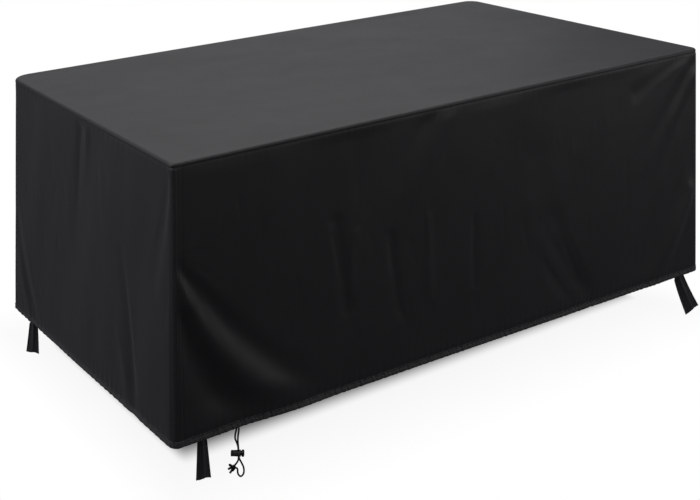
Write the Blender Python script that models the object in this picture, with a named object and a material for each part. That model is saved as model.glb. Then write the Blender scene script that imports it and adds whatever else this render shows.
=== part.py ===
"""A fitted cover for a rectangular patio furniture set, as it hangs over the furniture.

A top panel with its edge turned down, four skirt panels that meet in seams at the corners, four
webbing tails sewn inside the hem, and the two ends of the hem's drawcord, held by a sprung cord
lock and tied in a knot. The origin is under the middle of the top. The long sides run along X.
"""

import math

import bmesh
import bpy
import numpy as np
from mathutils import Matrix, Vector

MM = 0.001

# The cover's outline
TOP_LENGTH = 1.770
TOP_WIDTH = 0.980
DROP = 0.710            # from the top down to the hem's lower edge
FLARE = 0.047           # how far the hem stands out past the top on each side
CLOTH = 0.002
TOP_Z = CLOTH           # the outer face of the top
GAP = 0.0003            # between pieces that touch
EDGE_ROUND = 0.006      # how softly the top turns down
SEAM_DROP = 0.009       # depth of the seam between top and skirt
HEM = 0.017
HEM_THICK = 0.0045
HEM_PROUD = 0.001       # how far the hem stands out of the cloth above it

# Corner: name, its side along X and Y, how far the top corner and the hem corner stand off the
# plain outline (X, Y, Z in mm), and their rounding in plan (mm at the top, mm at the hem)
CORNERS = (
    ("front_left", -1, -1, (-6, 1, -6), (-10, 12, 16), 10, 22),
    ("front_right", 1, -1, (7, -5, 10), (-1, -3, 1), 24, 14),
    ("back_right", 1, 1, (-16, 15, 4), (0, 0, 0), 44, 30),
    ("back_left", -1, 1, (7, -4, -12), (16, -14, -18), 58, 16),
)

# Fold: start, bend and end (mm along the wall from its left corner, mm below the top), half width
# at start and end (mm), and how far the cloth stands out, or in if negative, at start and end (mm)
FRONT_FOLDS = (
    ((10, 278), (100, 528), (375, 718), 14, 60, 10, 18),      # the long drag from the corner
    ((10, 240), (112, 402), (395, 678), 14, 38, -6, -6),     # trough above it
    ((28, 385), (72, 565), (200, 698), 32, 48, -10, -14),     # hollow below it
    ((790, 5), (735, 70), (655, 165), 24, 36, -4, -1),        # two soft drags from the top edge
    ((850, 5), (780, 110), (710, 200), 26, 40, 3, 1),
    ((1175, 215), (1195, 340), (1250, 430), 46, 40, -2, -1),  # dark bands low on the right
    ((1240, 400), (1305, 535), (1380, 690), 28, 32, -2, -8),
    ((1175, 490), (1250, 585), (1325, 690), 26, 28, -1, -6),
    ((1215, 430), (1280, 560), (1350, 690), 24, 26, 1, 4),
    ((1790, 8), (1690, 45), (1580, 92), 16, 22, -4, -3),      # fan from the right corner
    ((1850, 40), (1745, 150), (1600, 285), 20, 32, -7, -1),
    ((1850, 75), (1760, 200), (1650, 330), 20, 32, 6, 1),
    ((1850, 110), (1725, 285), (1600, 465), 22, 40, -8, -2),
    ((1840, 430), (1770, 560), (1670, 695), 24, 34, 9, 8),
    ((935, 340), (933, 430), (933, 520), 12, 12, -2, -2),
    ((645, 320), (650, 425), (670, 535), 14, 16, -3, -2),
    ((765, 295), (768, 400), (775, 515), 14, 16, 2, 2),
    ((470, 240), (480, 345), (500, 485), 16, 18, -3, -3),
    ((527, 285), (517, 355), (510, 430), 14, 16, 2, 2),
)
LEFT_FOLDS = (
    ((520, 12), (500, 165), (470, 330), 18, 26, -5, -1),
    ((566, 10), (556, 90), (550, 150), 14, 18, 4, 1),
    ((36, 400), (85, 520), (165, 690), 20, 28, -2, -7),
    ((60, 520), (95, 600), (130, 690), 16, 22, 1, 5),
    ((770, 290), (795, 430), (835, 700), 18, 24, -1, -9),
    ((745, 510), (775, 600), (800, 690), 16, 22, 1, 6),
    ((1040, 40), (1000, 195), (940, 320), 16, 26, -6, -1),
    ((1045, 120), (1020, 225), (985, 330), 14, 22, 5, 1),
)
BACK_FOLDS = (
    ((15, 220), (140, 430), (360, 700), 20, 56, 10, 18),
    ((35, 340), (90, 520), (200, 690), 30, 44, -9, -10),
    ((700, 8), (640, 110), (590, 260), 24, 34, -6, -5),
    ((1120, 180), (1150, 360), (1230, 640), 30, 38, -7, -8),
    ((1800, 60), (1700, 240), (1590, 430), 24, 38, -8, -7),
    ((1820, 330), (1740, 520), (1640, 690), 26, 36, 8, 9),
)
RIGHT_FOLDS = (
    ((30, 60), (120, 210), (190, 380), 20, 32, -8, -6),
    ((420, 10), (440, 170), (470, 340), 18, 26, 6, 4),
    ((640, 330), (620, 470), (590, 690), 20, 28, -7, -8),
    ((1010, 200), (930, 400), (850, 690), 20, 34, 8, 9),
)

# Soft unevenness of a wall: waves over its length, waves down its drop, turn, height in mm
RIPPLES = ((2.3, 0.6, 0.4, 2.2), (5.1, 1.3, 1.9, 1.1), (8.7, 0.8, 4.0, 0.7))
# Soft unevenness of the top: waves along it, waves across it, height in mm
TOP_RIPPLES = ((1.5, 0.7, 1.0), (2.6, -1.9, 0.7), (-1.1, 2.3, 0.6))

# Side: node name, corner it starts from, its folds, faces along it, faces down it
SIDES = (
    ("skirt_front", 0, FRONT_FOLDS, 40, 13),
    ("skirt_right", 1, RIGHT_FOLDS, 16, 9),
    ("skirt_back", 2, BACK_FOLDS, 22, 9),
    ("skirt_left", 3, LEFT_FOLDS, 22, 11),
)
CORNER_FACES = 2        # over the half of a corner that one panel covers
TOP_FACES = (12, 8, 12, 8)
TOP_RINGS = (0.93, 0.78, 0.55, 0.28)

# Webbing tail: node name, side, mm along its wall, free length, lean along the wall and outward,
# its turn about its own length once it is clear of the hem (degrees), and its width at top and end
STRAPS = (
    ("strap_front_left", 0, 82, 107, -3, 4, 9, 24, 38),
    ("strap_front_right", 0, 1792, 138, 76, 8, 15, 35, 53),
    ("strap_back_right", 1, 885, 100, -6, 3, -50, 24, 38),
    ("strap_back_left", 3, 138, 105, -15, 7, -50, 24, 38),
)
STRAP_THICK = 0.0018
STRAP_SEWN = 0.014      # how far it reaches up behind the hem
STRAP_PLEAT = 0.0022
STRAP_WAVE = 0.0016     # of its cut end
STRAP_TURN_IN = 0.010   # how soon it has turned
LEAN_CURVE = 1.12       # how the lean grows down its length
STRAP_CLEAR = 0.0012    # behind the hem

# The drawcord and its lock hang in an upright plane, turned from the wall they hang by
CORD = 0.0045
CORD_EXIT_ALONG = 174   # mm along the front wall
CORD_TURN = math.radians(-36)
# Routes: mm to the right in that plane, mm away from it, mm up from the hem's lower edge
SHORT_ROUTE = (
    (0.4, 0.0, -0.6), (-1.4, -0.7, -9), (-3.4, -1.6, -18), (-3.6, -2.3, -28), (-0.6, -2.45, -38),
    (2.2, -2.45, -49), (3.0, -2.45, -60), (3.0, -2.45, -70), (3.0, -2.45, -80), (1.8, -2.3, -88),
    (-1.4, -1.7, -95.0), (-5.8, -1.1, -101.4),
)
LOOP_ROUTE = (
    (6.0, 0.2, -0.8), (5.2, 0.8, -9), (3.8, 1.7, -18), (2.6, 2.3, -28), (2.2, 2.45, -38),
    (2.6, 2.45, -49), (3.0, 2.45, -60), (3.0, 2.45, -70), (3.0, 2.45, -80), (4.8, 2.2, -88),
    (9.4, 1.6, -98), (13.4, 1.1, -108), (14.8, 0.8, -118.5), (13.0, 0.6, -129), (6.8, 0.4, -135.5),
    (1.2, 0.2, -131), (-0.8, 0.0, -123), (-0.6, -0.2, -116.6), (-1.6, -0.4, -112.0),
)
TAIL_ROUTES = (
    ("cord_tail_upper", ((-20.4, -0.8, -112.2), (-22.0, -1.2, -113.6), (-23.6, -1.6, -115.2))),
    ("cord_tail_lower", ((-16.6, -0.4, -121.0), (-18.2, 0.2, -123.6), (-19.8, 0.8, -126.2))),
)
CORD_STEP = 2.0         # diameters between the tube's points
KNOT_AT = (-11.8, -0.5, -111.2)
KNOT_HALF = (7.0, 6.2, 8.6)
KNOT_LUMPS = 0.08

LOCK_UP = -70.0         # mm from the hem's lower edge to the lock's axis
LOCK_CORD_AT = 3.0      # mm along the lock where the cord crosses it
BARREL_FROM, BARREL_TO = -15.6, 8.2
BARREL_R, BORE_R, BARREL_WALL = 8.7, 6.4, 2.2
BARREL_EDGE = 0.8
BARREL_NOSE = 2.0       # rounding of its closed end
STEM_R, STEM_FROM = 6.05, -9.0
HEAD_R, HEAD_FROM, HEAD_TO, HEAD_EDGE = 8.8, 11.0, 16.9, 1.2
TRAVEL = 2.5            # of the button
SLOT_HALF_WIDE = 5.1    # the cord's slot, across the lock
SLOT_SLACK = 2.6        # from the cord's middle to the slot's end
ROUND_STEPS = 28


def material(name, colour, roughness, metallic=0.0):
    made = bpy.data.materials.new(name)
    made.use_nodes = True
    shader = made.node_tree.nodes["Principled BSDF"]
    shader.inputs["Base Color"].default_value = (*colour, 1.0)
    shader.inputs["Roughness"].default_value = roughness
    shader.inputs["Metallic"].default_value = metallic
    return made


def add_object(name, mesh, finish, smooth_angle=None):
    obj = bpy.data.objects.new(name, mesh)
    bpy.context.scene.collection.objects.link(obj)
    mesh.materials.append(finish)
    if smooth_angle is not None:
        mesh.shade_smooth()
        mesh.set_sharp_from_angle(angle=math.radians(smooth_angle))
    return obj


def unit(vector):
    return vector / np.linalg.norm(vector)


def smooth(share):
    """0 to 1 with a soft start and end."""
    share = np.clip(share, 0.0, 1.0)
    return share * share * (3.0 - 2.0 * share)


# ---- the outline that every panel follows ------------------------------------------------

def corner(index, level):
    """A corner's plan point and rounding at a level: 0 at the top, 1 at the hem's lower edge."""
    _, side_x, side_y, top_shift, hem_shift, round_top, round_hem = CORNERS[index % 4]
    shift = (np.array(top_shift) * (1 - level) + np.array(hem_shift) * level) * MM
    plan = (side_x * (TOP_LENGTH / 2 + FLARE * level), side_y * (TOP_WIDTH / 2 + FLARE * level))
    return np.array(plan) + shift[:2], (round_top * (1 - level) + round_hem * level) * MM


def height(plan, level):
    """Height of a level over plan points. The corners stand a little high or low."""
    across = np.clip(plan[..., 0] / TOP_LENGTH + 0.5, 0, 1)
    back = np.clip(plan[..., 1] / TOP_WIDTH + 0.5, 0, 1)
    lift = [(c[3][2] * (1 - level) + c[4][2] * level) * MM for c in CORNERS]
    front_edge = lift[0] * (1 - across) + lift[1] * across
    back_edge = lift[3] * (1 - across) + lift[2] * across
    return TOP_Z - DROP * level + front_edge * (1 - back) + back_edge * back


def arc(index, level, inset, shares):
    """Plan points and outward normals on a corner's rounding, at shares of its turn."""
    here, radius = corner(index, level)
    into = unit(here - corner(index - 1, level)[0])
    out = unit(corner(index + 1, level)[0] - here)
    turn = math.atan2(into[0] * out[1] - into[1] * out[0], into @ out)
    normal_in = np.array((into[1], -into[0]))
    centre = here - into * radius * math.tan(turn / 2) - normal_in * radius
    angle = math.atan2(normal_in[1], normal_in[0]) + turn * np.asarray(shares)
    normals = np.stack([np.cos(angle), np.sin(angle)], axis=-1)
    return centre + normals * (radius - inset), normals


def wall_path(side, level, inset, faces):
    """Plan points and normals along one wall, from mid corner to mid corner."""
    half = np.linspace(0.0, 0.5, CORNER_FACES + 1)
    start, start_normals = arc(side, level, inset, 0.5 + half)
    end, end_normals = arc(side + 1, level, inset, half)
    share = np.linspace(0, 1, faces + 1)[1:-1, None]
    middle = start[-1] * (1 - share) + end[0] * share
    middle_normals = np.repeat(start_normals[-1:], len(middle), axis=0)
    return np.vstack([start, middle, end]), np.vstack([start_normals, middle_normals, end_normals])


def along_wall(side, level, plan):
    """How far plan points lie along a wall, as a share of it."""
    first, last = corner(side, level)[0], corner(side + 1, level)[0]
    return (plan - first) @ (last - first) / ((last - first) @ (last - first))


def hem_length(side):
    return np.linalg.norm(corner(side + 1, 1.0)[0] - corner(side, 1.0)[0])


# ---- folds -------------------------------------------------------------------------------

def fold_line(start, bend, end, pieces=10):
    share = np.linspace(0, 1, pieces + 1)[:, None]
    ends = (1 - share) ** 2 * np.array(start) + share ** 2 * np.array(end)
    return (ends + 2 * share * (1 - share) * np.array(bend)) * MM


def nearest_on(line, points):
    """Distance to a fold's line, and how far along it the nearest point is, 0 to 1."""
    distance = np.full(len(points), 1e9)
    share = np.zeros(len(points))
    for k in range(len(line) - 1):
        step = line[k + 1] - line[k]
        t = np.clip((points - line[k]) @ step / (step @ step), 0, 1)
        gap = np.linalg.norm(points - line[k] - t[:, None] * step, axis=1)
        share = np.where(gap < distance, (k + t) / (len(line) - 1), share)
        distance = np.minimum(gap, distance)
    return distance, share


def relief(side, folds, along, down):
    """How far the cloth stands out of its plain wall at points (m along, m below the top)."""
    length = hem_length(side)
    points = np.stack([along, down], axis=1)
    out = np.zeros(len(points))
    for waves_along, waves_down, turn, rise in RIPPLES:
        phase = 2 * math.pi * (waves_along * along / length + waves_down * down / DROP)
        out += rise * MM * np.sin(phase + turn + side)
    for start, bend, end, width, width_end, rise, rise_end in folds:
        distance, share = nearest_on(fold_line(start, bend, end), points)
        half_width = (width * (1 - share) + width_end * share) * MM
        out += (rise * (1 - share) + rise_end * share) * MM * np.exp(-(distance / half_width) ** 2)
    corner_hold = smooth(along / 0.045) * smooth((length - along) / 0.045)
    top_hold = smooth((down - SEAM_DROP) / 0.035)
    hem_hold = 1 - 0.72 * smooth((down - DROP + 0.11) / 0.09)
    return out * corner_hold * top_hold * hem_hold


# ---- cloth panels ------------------------------------------------------------------------

def sheet_mesh(name, outer, inner):
    """A closed sheet from its outer and inner grids of points."""
    rows, columns = outer.shape[:2]
    form = bmesh.new()
    grids = [[[form.verts.new(p) for p in row] for row in grid] for grid in (outer, inner)]
    for grid in grids:
        for r in range(rows - 1):
            for c in range(columns - 1):
                form.faces.new((grid[r][c], grid[r + 1][c], grid[r + 1][c + 1], grid[r][c + 1]))
    face, back = grids
    for r in range(rows - 1):
        for c in (0, columns - 1):
            form.faces.new((face[r][c], face[r + 1][c], back[r + 1][c], back[r][c]))
    for c in range(columns - 1):
        for r in (0, rows - 1):
            form.faces.new((face[r][c], face[r][c + 1], back[r][c + 1], back[r][c]))
    bmesh.ops.recalc_face_normals(form, faces=form.faces)
    mesh = bpy.data.meshes.new(name)
    form.to_mesh(mesh)
    form.free()
    return mesh


def skirt_levels(rows):
    """Depths down a skirt panel (m), each with how far the hem there stands out and its thickness."""
    last_plain = DROP - HEM - 0.0015
    plain = np.linspace(SEAM_DROP + GAP, last_plain, rows + 1)
    levels = [(down, 0.0, CLOTH) for down in plain]
    for down, share in ((DROP - HEM, 1.0), (DROP - 0.0015, 1.0), (DROP, 0.7)):
        levels.append((down, HEM_PROUD * share, CLOTH + (HEM_THICK - CLOTH) * share))
    return levels


def skirt_panel(name, side, folds, faces, rows, finish):
    """One wall of the skirt with its hem, from corner seam to corner seam."""
    outer, inner = [], []
    for down, proud, thick in skirt_levels(rows):
        level = down / DROP
        plan, normals = wall_path(side, level, 0.0, faces)
        walk = np.stack([-normals[:, 1], normals[:, 0]], axis=1)
        plan[0] += walk[0] * GAP * 0.7
        plan[-1] -= walk[-1] * GAP * 0.7
        along = along_wall(side, level, plan) * hem_length(side)
        out = relief(side, folds, along, np.full(len(along), down)) + proud
        face = plan + normals * out[:, None]
        back = face - normals * thick
        z = height(plan, level)
        outer.append(np.column_stack([face, z]))
        inner.append(np.column_stack([back, z]))
    return add_object(name, sheet_mesh(name, np.array(outer), np.array(inner)), finish, 40)


def full_ring(level, inset):
    """The whole outline at a level, once round."""
    points = []
    for side in range(4):
        plan, _ = wall_path(side, level, inset, TOP_FACES[side])
        points.append(plan[:-1])
    return np.vstack(points)


def top_unevenness(plan):
    rise = np.zeros(len(plan))
    for waves_along, waves_across, high in TOP_RIPPLES:
        phase = waves_along * plan[:, 0] / TOP_LENGTH + waves_across * plan[:, 1] / TOP_WIDTH
        rise += high * MM * np.sin(2 * math.pi * phase)
    reach = np.maximum(abs(plan[:, 0]) * 2 / TOP_LENGTH, abs(plan[:, 1]) * 2 / TOP_WIDTH)
    return rise * smooth((1 - reach) / 0.2)


def top_rings(inward):
    """Rings of one face of the top panel, from its seam up over the edge and in to the middle."""
    bend = EDGE_ROUND - inward
    rings = []
    for down, turned in ((SEAM_DROP, 1.0), (EDGE_ROUND, 1.0), (None, 0.5), (None, 0.0)):
        angle = turned * math.pi / 2
        inset = inward + bend * (1 - math.sin(angle))
        if down is None:
            down = inward + bend * (1 - math.cos(angle))
        plan = full_ring(down / DROP, inset)
        rings.append(np.column_stack([plan, height(plan, down / DROP)]))
    for scale in TOP_RINGS:
        plan = full_ring(0.0, EDGE_ROUND) * scale
        z = height(plan, 0.0) - inward + top_unevenness(plan)
        rings.append(np.column_stack([plan, z]))
    return rings


def top_panel(finish):
    """The top with its edge turned down to the seam."""
    form = bmesh.new()
    faces = [[[form.verts.new(p) for p in ring] for ring in top_rings(inward)]
             for inward in (0.0, CLOTH)]
    count = len(faces[0][0])
    for rings, z in zip(faces, (TOP_Z, TOP_Z - CLOTH)):
        middle = form.verts.new((0.0, 0.0, z))
        for k in range(count):
            n = (k + 1) % count
            for low, high in zip(rings, rings[1:]):
                form.faces.new((low[k], low[n], high[n], high[k]))
            form.faces.new((rings[-1][k], rings[-1][n], middle))
    outer, inner = faces[0][0], faces[1][0]
    for k in range(count):
        n = (k + 1) % count
        form.faces.new((outer[k], outer[n], inner[n], inner[k]))
    bmesh.ops.recalc_face_normals(form, faces=form.faces)
    mesh = bpy.data.meshes.new("top_panel")
    form.to_mesh(mesh)
    form.free()
    return add_object("top_panel", mesh, finish, 40)


# ---- webbing tails -----------------------------------------------------------------------

def hem_point(side, along_mm, down, inset):
    """A point of a wall's hem, its outward normal and the way along the wall, in space."""
    level = down / DROP
    first, last = corner(side, level)[0], corner(side + 1, level)[0]
    walk = unit(last - first)
    normal = np.array((walk[1], -walk[0]))
    share = along_mm * MM / hem_length(side)
    plan = first * (1 - share) + last * share
    folds = SIDES[side][2]
    out = relief(side, folds, np.array([along_mm * MM]), np.array([down]))[0]
    place = np.append(plan + normal * (out + HEM_PROUD - inset), height(plan, level))
    return place, np.append(normal, 0.0), np.append(walk, 0.0)


def strap(name, side, along_mm, free, lean_along, lean_out, turn, top, end, finish):
    """A webbing tail that hangs from behind the hem, gathered at its top and open at its end."""
    behind = HEM_THICK + STRAP_CLEAR + STRAP_THICK / 2 + STRAP_PLEAT
    root, normal, walk = hem_point(side, along_mm, DROP, behind)
    free *= MM
    across = np.linspace(-0.5, 0.5, 7)
    face, back = [], []
    for down in np.concatenate([[-STRAP_SEWN, 0.0], np.linspace(0.006, free, 8)]):
        share = max(down, 0.0) / free
        angle = math.radians(turn) * float(smooth(max(down, 0.0) / STRAP_TURN_IN))
        lie = walk * math.cos(angle) + normal * math.sin(angle)
        look = normal * math.cos(angle) - walk * math.sin(angle)
        tilt = math.atan2(LEAN_CURVE * lean_along * MM * share ** (LEAN_CURVE - 1), free)
        lie = lie * math.cos(tilt) + np.array((0, 0, math.sin(tilt)))
        centre = root + np.array((0, 0, -down))
        centre = centre + (walk * lean_along + normal * lean_out) * MM * share ** LEAN_CURVE
        centre = centre + normal * min(down, 0.0) * FLARE / DROP
        width = (top * (1 - share) + end * share) * MM
        pleat = STRAP_PLEAT * np.cos(3 * math.pi * across) * (1 - 0.45 * share)
        line = centre + np.outer(across * width, lie) + np.outer(pleat, look)
        line[:, 2] += STRAP_WAVE * share * np.sin(2.4 * math.pi * (across + 0.1))
        face.append(line + look * STRAP_THICK / 2)
        back.append(line - look * STRAP_THICK / 2)
    return add_object(name, sheet_mesh(name, np.array(face), np.array(back)), finish, 50)


# ---- drawcord ----------------------------------------------------------------------------

def cord_frame():
    """The upright plane that the drawcord hangs in, from where it leaves the hem."""
    place, _, _ = hem_point(0, CORD_EXIT_ALONG, DROP, HEM_THICK / 2)
    return Matrix.Translation(Vector(place)) @ Matrix.Rotation(CORD_TURN, 4, "Z")


def smooth_route(route, step):
    """Even points on a smooth curve through a route's points, step apart."""
    points = np.array(route, dtype=float)
    padded = np.vstack([2 * points[0] - points[1], points, 2 * points[-1] - points[-2]])
    dense = []
    for k in range(len(points) - 1):
        p0, p1, p2, p3 = padded[k:k + 4]
        for t in np.linspace(0, 1, 12, endpoint=False):
            dense.append(0.5 * (2 * p1 + (p2 - p0) * t + (2 * p0 - 5 * p1 + 4 * p2 - p3) * t ** 2
                                + (3 * p1 - p0 - 3 * p2 + p3) * t ** 3))
    dense = np.array(dense + [points[-1]])
    run = np.concatenate([[0], np.cumsum(np.linalg.norm(np.diff(dense, axis=0), axis=1))])
    count = max(2, round(run[-1] / step)) + 1
    where = np.linspace(0, run[-1], count)
    return np.column_stack([np.interp(where, run, dense[:, axis]) for axis in range(3)])


def cord_tube(name, route, frame, finish):
    points = smooth_route(route, CORD / MM * CORD_STEP)
    line = bpy.data.curves.new(name, "CURVE")
    line.dimensions = "3D"
    line.bevel_depth = CORD / 2
    line.bevel_resolution = 2
    line.use_fill_caps = True
    spline = line.splines.new("POLY")
    spline.points.add(len(points) - 1)
    for point, place in zip(spline.points, points):
        point.co = (*(frame @ Vector(place * MM)), 1.0)
    line.materials.append(finish)
    obj = bpy.data.objects.new(name, line)
    bpy.context.scene.collection.objects.link(obj)
    return obj


def knot(frame, finish):
    """The knot that joins the drawcord's two ends: a lumpy ball a little taller than wide."""
    form = bmesh.new()
    bmesh.ops.create_uvsphere(form, u_segments=16, v_segments=10, radius=1.0)
    for vert in form.verts:
        lump = 1 + KNOT_LUMPS * math.sin(4 * vert.co.z + 2 * math.atan2(vert.co.y, vert.co.x))
        vert.co = Vector([c * h * lump + at for c, h, at in zip(vert.co, KNOT_HALF, KNOT_AT)]) * MM
    form.transform(frame)
    mesh = bpy.data.meshes.new("cord_knot")
    form.to_mesh(mesh)
    form.free()
    return add_object("cord_knot", mesh, finish, 60)


# ---- cord lock ---------------------------------------------------------------------------

def turned(name, profile, frame, finish):
    """A solid turned about the lock's axis from a profile of (mm along it, mm radius)."""
    form = bmesh.new()
    rings = []
    for along, radius in profile:
        if radius == 0:
            rings.append([form.verts.new((along, 0, 0))])
            continue
        ring = []
        for k in range(ROUND_STEPS):
            angle = 2 * math.pi * k / ROUND_STEPS
            ring.append(form.verts.new((along, radius * math.cos(angle), radius * math.sin(angle))))
        rings.append(ring)
    for ring, after in zip(rings, rings[1:]):
        for k in range(ROUND_STEPS):
            n = (k + 1) % ROUND_STEPS
            corners = [ring[k % len(ring)], ring[n % len(ring)],
                       after[n % len(after)], after[k % len(after)]]
            form.faces.new(list(dict.fromkeys(corners)))
    bmesh.ops.recalc_face_normals(form, faces=form.faces)
    mesh = bpy.data.meshes.new(name)
    form.to_mesh(mesh)
    form.free()
    obj = add_object(name, mesh, finish, 35)
    obj.matrix_world = frame @ Matrix.Scale(MM, 4)
    return obj


def cut_slot(obj, first, last):
    """Cuts the cord's slot up through a piece of the lock, between two places along its axis."""
    form = bmesh.new()
    bmesh.ops.create_cube(form, size=1.0)
    mesh = bpy.data.meshes.new(obj.name + "_slot")
    form.to_mesh(mesh)
    form.free()
    cutter = bpy.data.objects.new(mesh.name, mesh)
    bpy.context.scene.collection.objects.link(cutter)
    size = Matrix.Diagonal((last - first, 2 * SLOT_HALF_WIDE, 4 * BARREL_R, 1))
    cutter.matrix_world = obj.matrix_world @ Matrix.Translation(((first + last) / 2, 0, 0)) @ size
    cutter.hide_render = True
    cutter.display_type = "WIRE"
    cut = obj.modifiers.new("slot", "BOOLEAN")
    cut.object = cutter
    cut.operation = "DIFFERENCE"
    cut.solver = "EXACT"


def cord_lock(frame, finish, button_finish):
    """A sprung cord lock: an open barrel, and a button whose stem pinches the cord in its slot."""
    axis = frame @ Matrix.Translation(Vector((0, 0, LOCK_UP * MM)))
    barrel = turned("lock_barrel", (
        (BARREL_FROM, 0), (BARREL_FROM, BARREL_R - BARREL_NOSE),
        (BARREL_FROM + BARREL_NOSE * 0.35, BARREL_R - BARREL_NOSE * 0.45),
        (BARREL_FROM + BARREL_NOSE, BARREL_R),
        (BARREL_TO - BARREL_EDGE, BARREL_R), (BARREL_TO, BARREL_R - BARREL_EDGE), (BARREL_TO, BORE_R),
        (BARREL_FROM + BARREL_WALL, BORE_R), (BARREL_FROM + BARREL_WALL, 0),
    ), axis, finish)
    cut_slot(barrel, LOCK_CORD_AT - SLOT_SLACK, LOCK_CORD_AT + SLOT_SLACK)
    button = turned("lock_button", (
        (STEM_FROM, 0), (STEM_FROM, STEM_R), (HEAD_FROM, STEM_R), (HEAD_FROM, HEAD_R - HEAD_EDGE / 2),
        (HEAD_FROM + HEAD_EDGE / 2, HEAD_R), (HEAD_TO - HEAD_EDGE, HEAD_R), (HEAD_TO, HEAD_R - HEAD_EDGE),
        (HEAD_TO, 0),
    ), axis, button_finish)
    cut_slot(button, LOCK_CORD_AT - SLOT_SLACK, LOCK_CORD_AT + SLOT_SLACK + TRAVEL)


def build():
    for obj in list(bpy.data.objects):
        bpy.data.objects.remove(obj, do_unlink=True)
    cloth = material("cover_cloth", (0.028, 0.028, 0.030), 0.62)
    webbing = material("webbing", (0.018, 0.018, 0.020), 0.80)
    cord = material("cord", (0.014, 0.014, 0.015), 0.70)
    plastic = material("lock_plastic", (0.016, 0.016, 0.017), 0.42)
    top_panel(cloth)
    for name, side, folds, faces, rows in SIDES:
        skirt_panel(name, side, folds, faces, rows, cloth)
    for row in STRAPS:
        strap(*row, webbing)
    frame = cord_frame()
    cord_tube("drawcord_short", SHORT_ROUTE, frame, cord)
    cord_tube("drawcord_loop", LOOP_ROUTE, frame, cord)
    for name, route in TAIL_ROUTES:
        cord_tube(name, route, frame, cord)
    knot(frame, cord)
    cord_lock(frame, plastic, plastic)


build()
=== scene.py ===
"""A fitted cover for a rectangular patio furniture set, dressed in coated woven polyester.

The sheets, their hems, webbing tails, drawcord and cord lock follow the solids of the CAD model.
"""

import math

import bmesh
import bpy
import numpy as np
from mathutils import Matrix, Vector

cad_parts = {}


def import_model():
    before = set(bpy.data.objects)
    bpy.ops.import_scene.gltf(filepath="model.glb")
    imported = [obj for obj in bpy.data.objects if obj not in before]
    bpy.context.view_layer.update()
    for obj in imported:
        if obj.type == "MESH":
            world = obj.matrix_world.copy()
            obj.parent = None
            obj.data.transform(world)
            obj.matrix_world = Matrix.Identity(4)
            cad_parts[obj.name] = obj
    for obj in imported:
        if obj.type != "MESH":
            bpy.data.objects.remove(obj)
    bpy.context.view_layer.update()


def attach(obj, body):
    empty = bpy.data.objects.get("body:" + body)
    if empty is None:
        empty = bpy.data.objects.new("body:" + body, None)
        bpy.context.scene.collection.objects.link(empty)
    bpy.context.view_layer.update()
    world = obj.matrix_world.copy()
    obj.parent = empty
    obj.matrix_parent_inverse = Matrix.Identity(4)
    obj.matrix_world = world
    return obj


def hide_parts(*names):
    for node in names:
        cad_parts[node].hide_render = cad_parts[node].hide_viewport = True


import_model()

MM = 0.001

# ---- sizes of the cover, as in the CAD model ---------------------------------------------

TOP_LENGTH, TOP_WIDTH = 1.770, 0.980
DROP = 0.710
FLARE = 0.047
CLOTH = 0.002
TOP_Z = CLOTH
GAP = 0.0003
EDGE_ROUND = 0.006
SEAM_DROP = 0.009
HEM, HEM_THICK, HEM_PROUD = 0.017, 0.0045, 0.001

# Corner: name, its side along X and Y, top and hem shift (X, Y, Z in mm), rounding at top and hem (mm)
CORNERS = (
    ("front_left", -1, -1, (-6, 1, -6), (-10, 12, 16), 10, 22),
    ("front_right", 1, -1, (7, -5, 10), (-1, -3, 1), 24, 14),
    ("back_right", 1, 1, (-16, 15, 4), (0, 0, 0), 44, 30),
    ("back_left", -1, 1, (7, -4, -12), (16, -14, -18), 58, 16),
)

# Fold: start, bend and end (mm along the wall, mm below the top), half width at start and end (mm),
# and how far the cloth stands out, or in if negative, at start and end (mm)
FRONT_FOLDS = (
    ((10, 278), (100, 528), (375, 718), 14, 60, 10, 18),
    ((10, 240), (112, 402), (395, 678), 14, 38, -6, -6),
    ((28, 385), (72, 565), (200, 698), 32, 48, -10, -14),
    ((790, 5), (735, 70), (655, 165), 24, 36, -4, -1),
    ((850, 5), (780, 110), (710, 200), 26, 40, 3, 1),
    ((1175, 215), (1195, 340), (1250, 430), 46, 40, -2, -1),
    ((1240, 400), (1305, 535), (1380, 690), 28, 32, -2, -8),
    ((1175, 490), (1250, 585), (1325, 690), 26, 28, -1, -6),
    ((1215, 430), (1280, 560), (1350, 690), 24, 26, 1, 4),
    ((1790, 8), (1690, 45), (1580, 92), 16, 22, -4, -3),
    ((1850, 40), (1745, 150), (1600, 285), 20, 32, -7, -1),
    ((1850, 75), (1760, 200), (1650, 330), 20, 32, 6, 1),
    ((1850, 110), (1725, 285), (1600, 465), 22, 40, -8, -2),
    ((1840, 430), (1770, 560), (1670, 695), 24, 34, 9, 8),
    ((935, 340), (933, 430), (933, 520), 12, 12, -2, -2),
    ((645, 320), (650, 425), (670, 535), 14, 16, -3, -2),
    ((765, 295), (768, 400), (775, 515), 14, 16, 2, 2),
    ((470, 240), (480, 345), (500, 485), 16, 18, -3, -3),
    ((527, 285), (517, 355), (510, 430), 14, 16, 2, 2),
)
LEFT_FOLDS = (
    ((520, 12), (500, 165), (470, 330), 18, 26, -5, -1),
    ((566, 10), (556, 90), (550, 150), 14, 18, 4, 1),
    ((36, 400), (85, 520), (165, 690), 20, 28, -2, -7),
    ((60, 520), (95, 600), (130, 690), 16, 22, 1, 5),
    ((770, 290), (795, 430), (835, 700), 18, 24, -1, -9),
    ((745, 510), (775, 600), (800, 690), 16, 22, 1, 6),
    ((1040, 40), (1000, 195), (940, 320), 16, 26, -6, -1),
    ((1045, 120), (1020, 225), (985, 330), 14, 22, 5, 1),
)
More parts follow.
